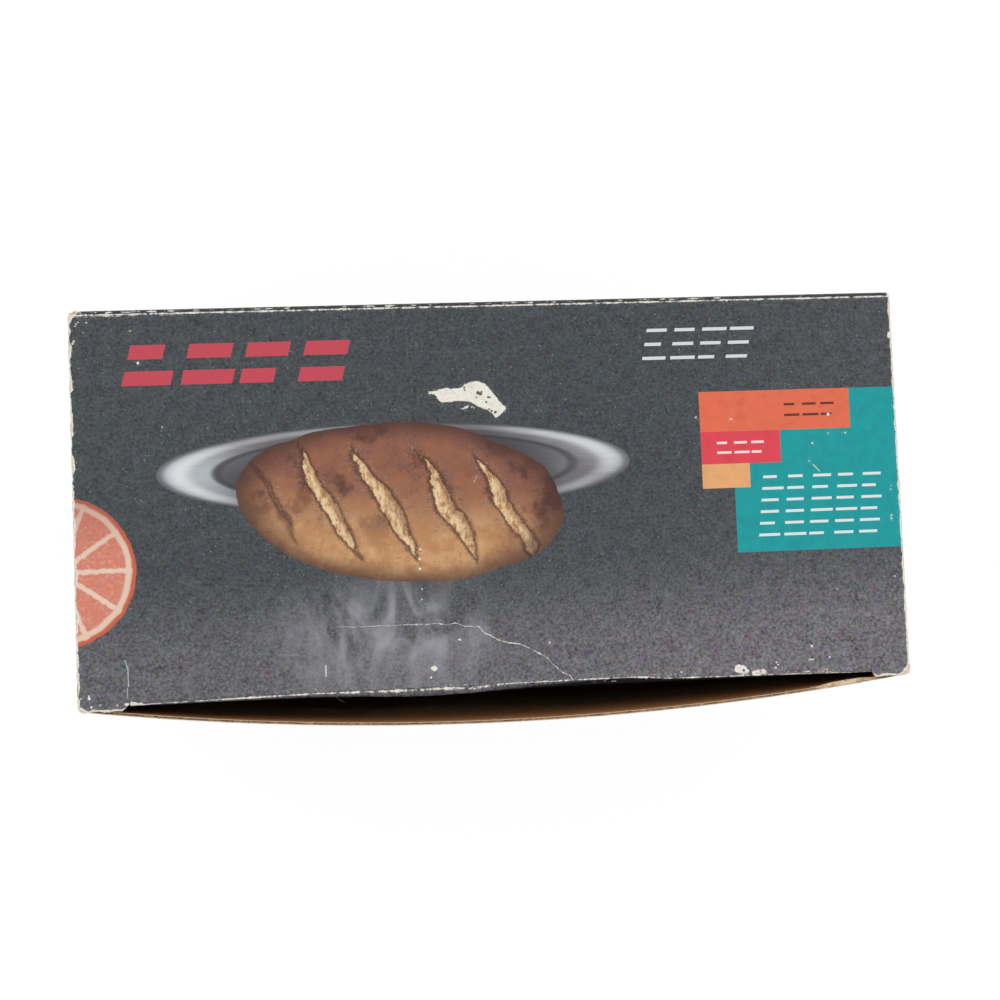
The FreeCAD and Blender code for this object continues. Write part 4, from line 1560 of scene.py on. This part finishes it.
back_left = round_corner(lid_left + 3.6, back_plane - 3.6, 3.5, 95, 178)
ear_right = round_corner(lid_right - 3.3, ear_front + 3.3, 3.4, -46, 10)
ear_left = round_corner(lid_left + 3.1, ear_front + 3.1, 3.2, 176, 272)
grow("fibres_back_left", 46, back_left, 301, 2.2, 0.055, "printed_sheet", "lid")
grow("fibres_ear_right", 60, ear_right, 302, 1.7, 0.06, "printed_sheet", "lid")
grow("fibres_ear_left", 36, ear_left, 303, 1.6, 0.05, "printed_sheet", "lid")
grow("fibres_ear_fronts", 60, ear_root, 304, 0.9, 0.05, "printed_sheet", "lid")
grow("fibres_raw_edge", 230, raw_edge_root, 305, 1.5, 0.045, "kraft_liner", "tube")
grow("fibre_in_gap", 1, gap_hair_root, 307, 5, 0.06, "printed_sheet", "tuck_flap")

# %% [markdown]
# ## The sheets that keep their CAD mesh
#
# The flat flaps have the right shape already. Their print needs the wear of their own edges, so each gets
# a finish made for its box: the distance to its sides, and the side that faces out.

# %% Finish the flat panels
panels = {"glue_tab": (1, 1, 0), "tuck_flap": (1, -1, 0), "dust_flap_left": (2, 1, 1),
          "dust_flap_right": (2, 1, 1), "bottom_outer": (2, -1, 0), "bottom_inner": (2, -1, 0),
          "bottom_minor_left": (2, -1, 1), "bottom_minor_right": (2, -1, 1)}


def panel_finish(panel, facing, sign, across):
    """Finish of a flat printed sheet that faces one axis, with its flutes repeated along another."""
    low, high = box_mm(panel + "_print")
    finish = Finish(panel + "_print_finish", varnish)
    where = finish.place(own=False)
    parts = where.axes()
    rim = (finish.node("TexCoord", {}, output="Normal").axes()[facing] * sign).rise(0.6, 0.4)
    first, second = ((parts[axis] - float(low[axis])).least(float(high[axis]) - parts[axis])
                     for axis in range(3) if axis != facing)
    edge = first.least(second)
    corner = (first + second) - where.noise(6) * 9
    worn = (edge - (where.noise(24, 5, 0.6) - 0.5) * 5).least(corner)
    plane = tuple(int(axis != facing) for axis in range(3))
    picture = wall_picture if panel == "bottom_outer" else ground_only
    dents = where.noise(46).rise(0.5, 0.8) * -1.2
    return board_print(finish, where, picture, edge, worn, rim, plane, across, dents)


def assign(node, material):
    """Put a finish on a CAD node without touching its mesh."""
    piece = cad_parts[node]
    if not piece.material_slots:
        piece.data.materials.append(material)
    piece.material_slots[0].material = material


for panel, (facing, sign, across) in panels.items():
    assign(panel + "_print", panel_finish(panel, facing, sign, across))
    assign(panel + "_flute", medium[False])
    assign(panel + "_liner", kraft[False, across])
print("flat panels finished:", len(panels))

# %% [markdown]
# ## Glue
#
# Cold glue dries to a dull amber film with small bubbles. It shows at the seam inside and between the
# flaps of the base.

# %% Finish the glue


def glue_finish():
    finish = Finish("dried_glue_finish", 0.5, 0.15)
    where = finish.place(own=False)
    cloud = where.noise(3, 4, 0.6)
    bubbles = where.cells(1.3).rise(0.3, 0.2)
    color = where.coats(ink(188, 158, 112), (ink(222, 202, 164), cloud), (ink(236, 222, 194), bubbles * 0.6))
    return finish.dress(color, cloud * 0.3 + 0.25, bubbles * 0.05 + cloud * 0.05)


glue = glue_finish()
assign("joint_glue", glue)
assign("bottom_glue", glue)
print("glue on 2 nodes")

# %% [markdown]
# ## Floor and light
#
# The carton lies on a white floor in plain light. The camera sees the floor a little brighter than it is,
# so that only the soft shadow round the carton stays.

# %% The floor


def make_floor():
    mesh = bpy.data.meshes.new("floor")
    reach = 3
    under = -0.0002
    mesh.from_pydata([(x, y, under) for x, y in ((-reach, -reach), (reach, -reach), (reach, reach),
                                                 (-reach, reach))], [], [(0, 1, 2, 3)])
    floor = bpy.data.objects.new("floor", mesh)
    bpy.context.scene.collection.objects.link(floor)
    finish = Finish("floor_finish", 0)
    finish.set("Roughness", 0.9)
    finish.set("Base Color", (0.86, 0.86, 0.86))
    kinds = ("Camera", "Glossy", "Transmission")
    seen, mirrored, passed = (finish.node("LightPath", {}, output=f"Is {kind} Ray") for kind in kinds)
    glow = finish.node("Emission", {}, {"Color": (1, 1, 1), "Strength": 1.08})
    share = seen.most(mirrored).most(passed) * 0.84
    surface = Signal(finish, finish.shader.outputs["BSDF"])
    mixed = finish.node("MixShader", {}, [share, surface, glow])
    finish.tree.links.new(mixed.socket, finish.tree.nodes["Material Output"].inputs["Surface"])
    mesh.materials.append(finish.material)


make_floor()
print("the floor is stage, not part of the carton")

# %% [markdown]
# The world is nearly as bright as white paper, so a colour renders about as it was written. Two broad soft
# lamps add a direction.

# %% The light


def make_world():
    world = bpy.data.worlds.new("studio")
    world.use_nodes = True
    tree = world.node_tree
    background = tree.nodes["Background"]
    background.inputs["Color"].default_value = (0.80, 0.80, 0.80, 1)
    white = tree.nodes.new("ShaderNodeBackground")
    white.inputs["Color"].default_value = (1, 1, 1, 1)
    path = tree.nodes.new("ShaderNodeLightPath")
    mix = tree.nodes.new("ShaderNodeMixShader")
    for order, output in enumerate((path.outputs["Is Camera Ray"], background.outputs[0], white.outputs[0])):
        tree.links.new(output, mix.inputs[order])
    tree.links.new(mix.outputs[0], tree.nodes["World Output"].inputs["Surface"])
    bpy.context.scene.world = world


def make_lamp(name, place, size, power):
    light = bpy.data.lights.new(name, "AREA")
    light.size = size
    light.energy = power
    lamp = bpy.data.objects.new(name, light)
    lamp.location = place
    lamp.rotation_mode = "QUATERNION"
    lamp.rotation_quaternion = (-Vector(place)).to_track_quat("-Z", "Y")
    bpy.context.scene.collection.objects.link(lamp)


make_world()
make_lamp("soft_lamp_left", (-1.4, 0.9, 2.2), 1.6, 9)
make_lamp("soft_lamp_right", (1.6, -1.2, 1.8), 1.6, 4)
bpy.context.scene.view_settings.view_transform = "Standard"
print("light: one world and two soft lamps")
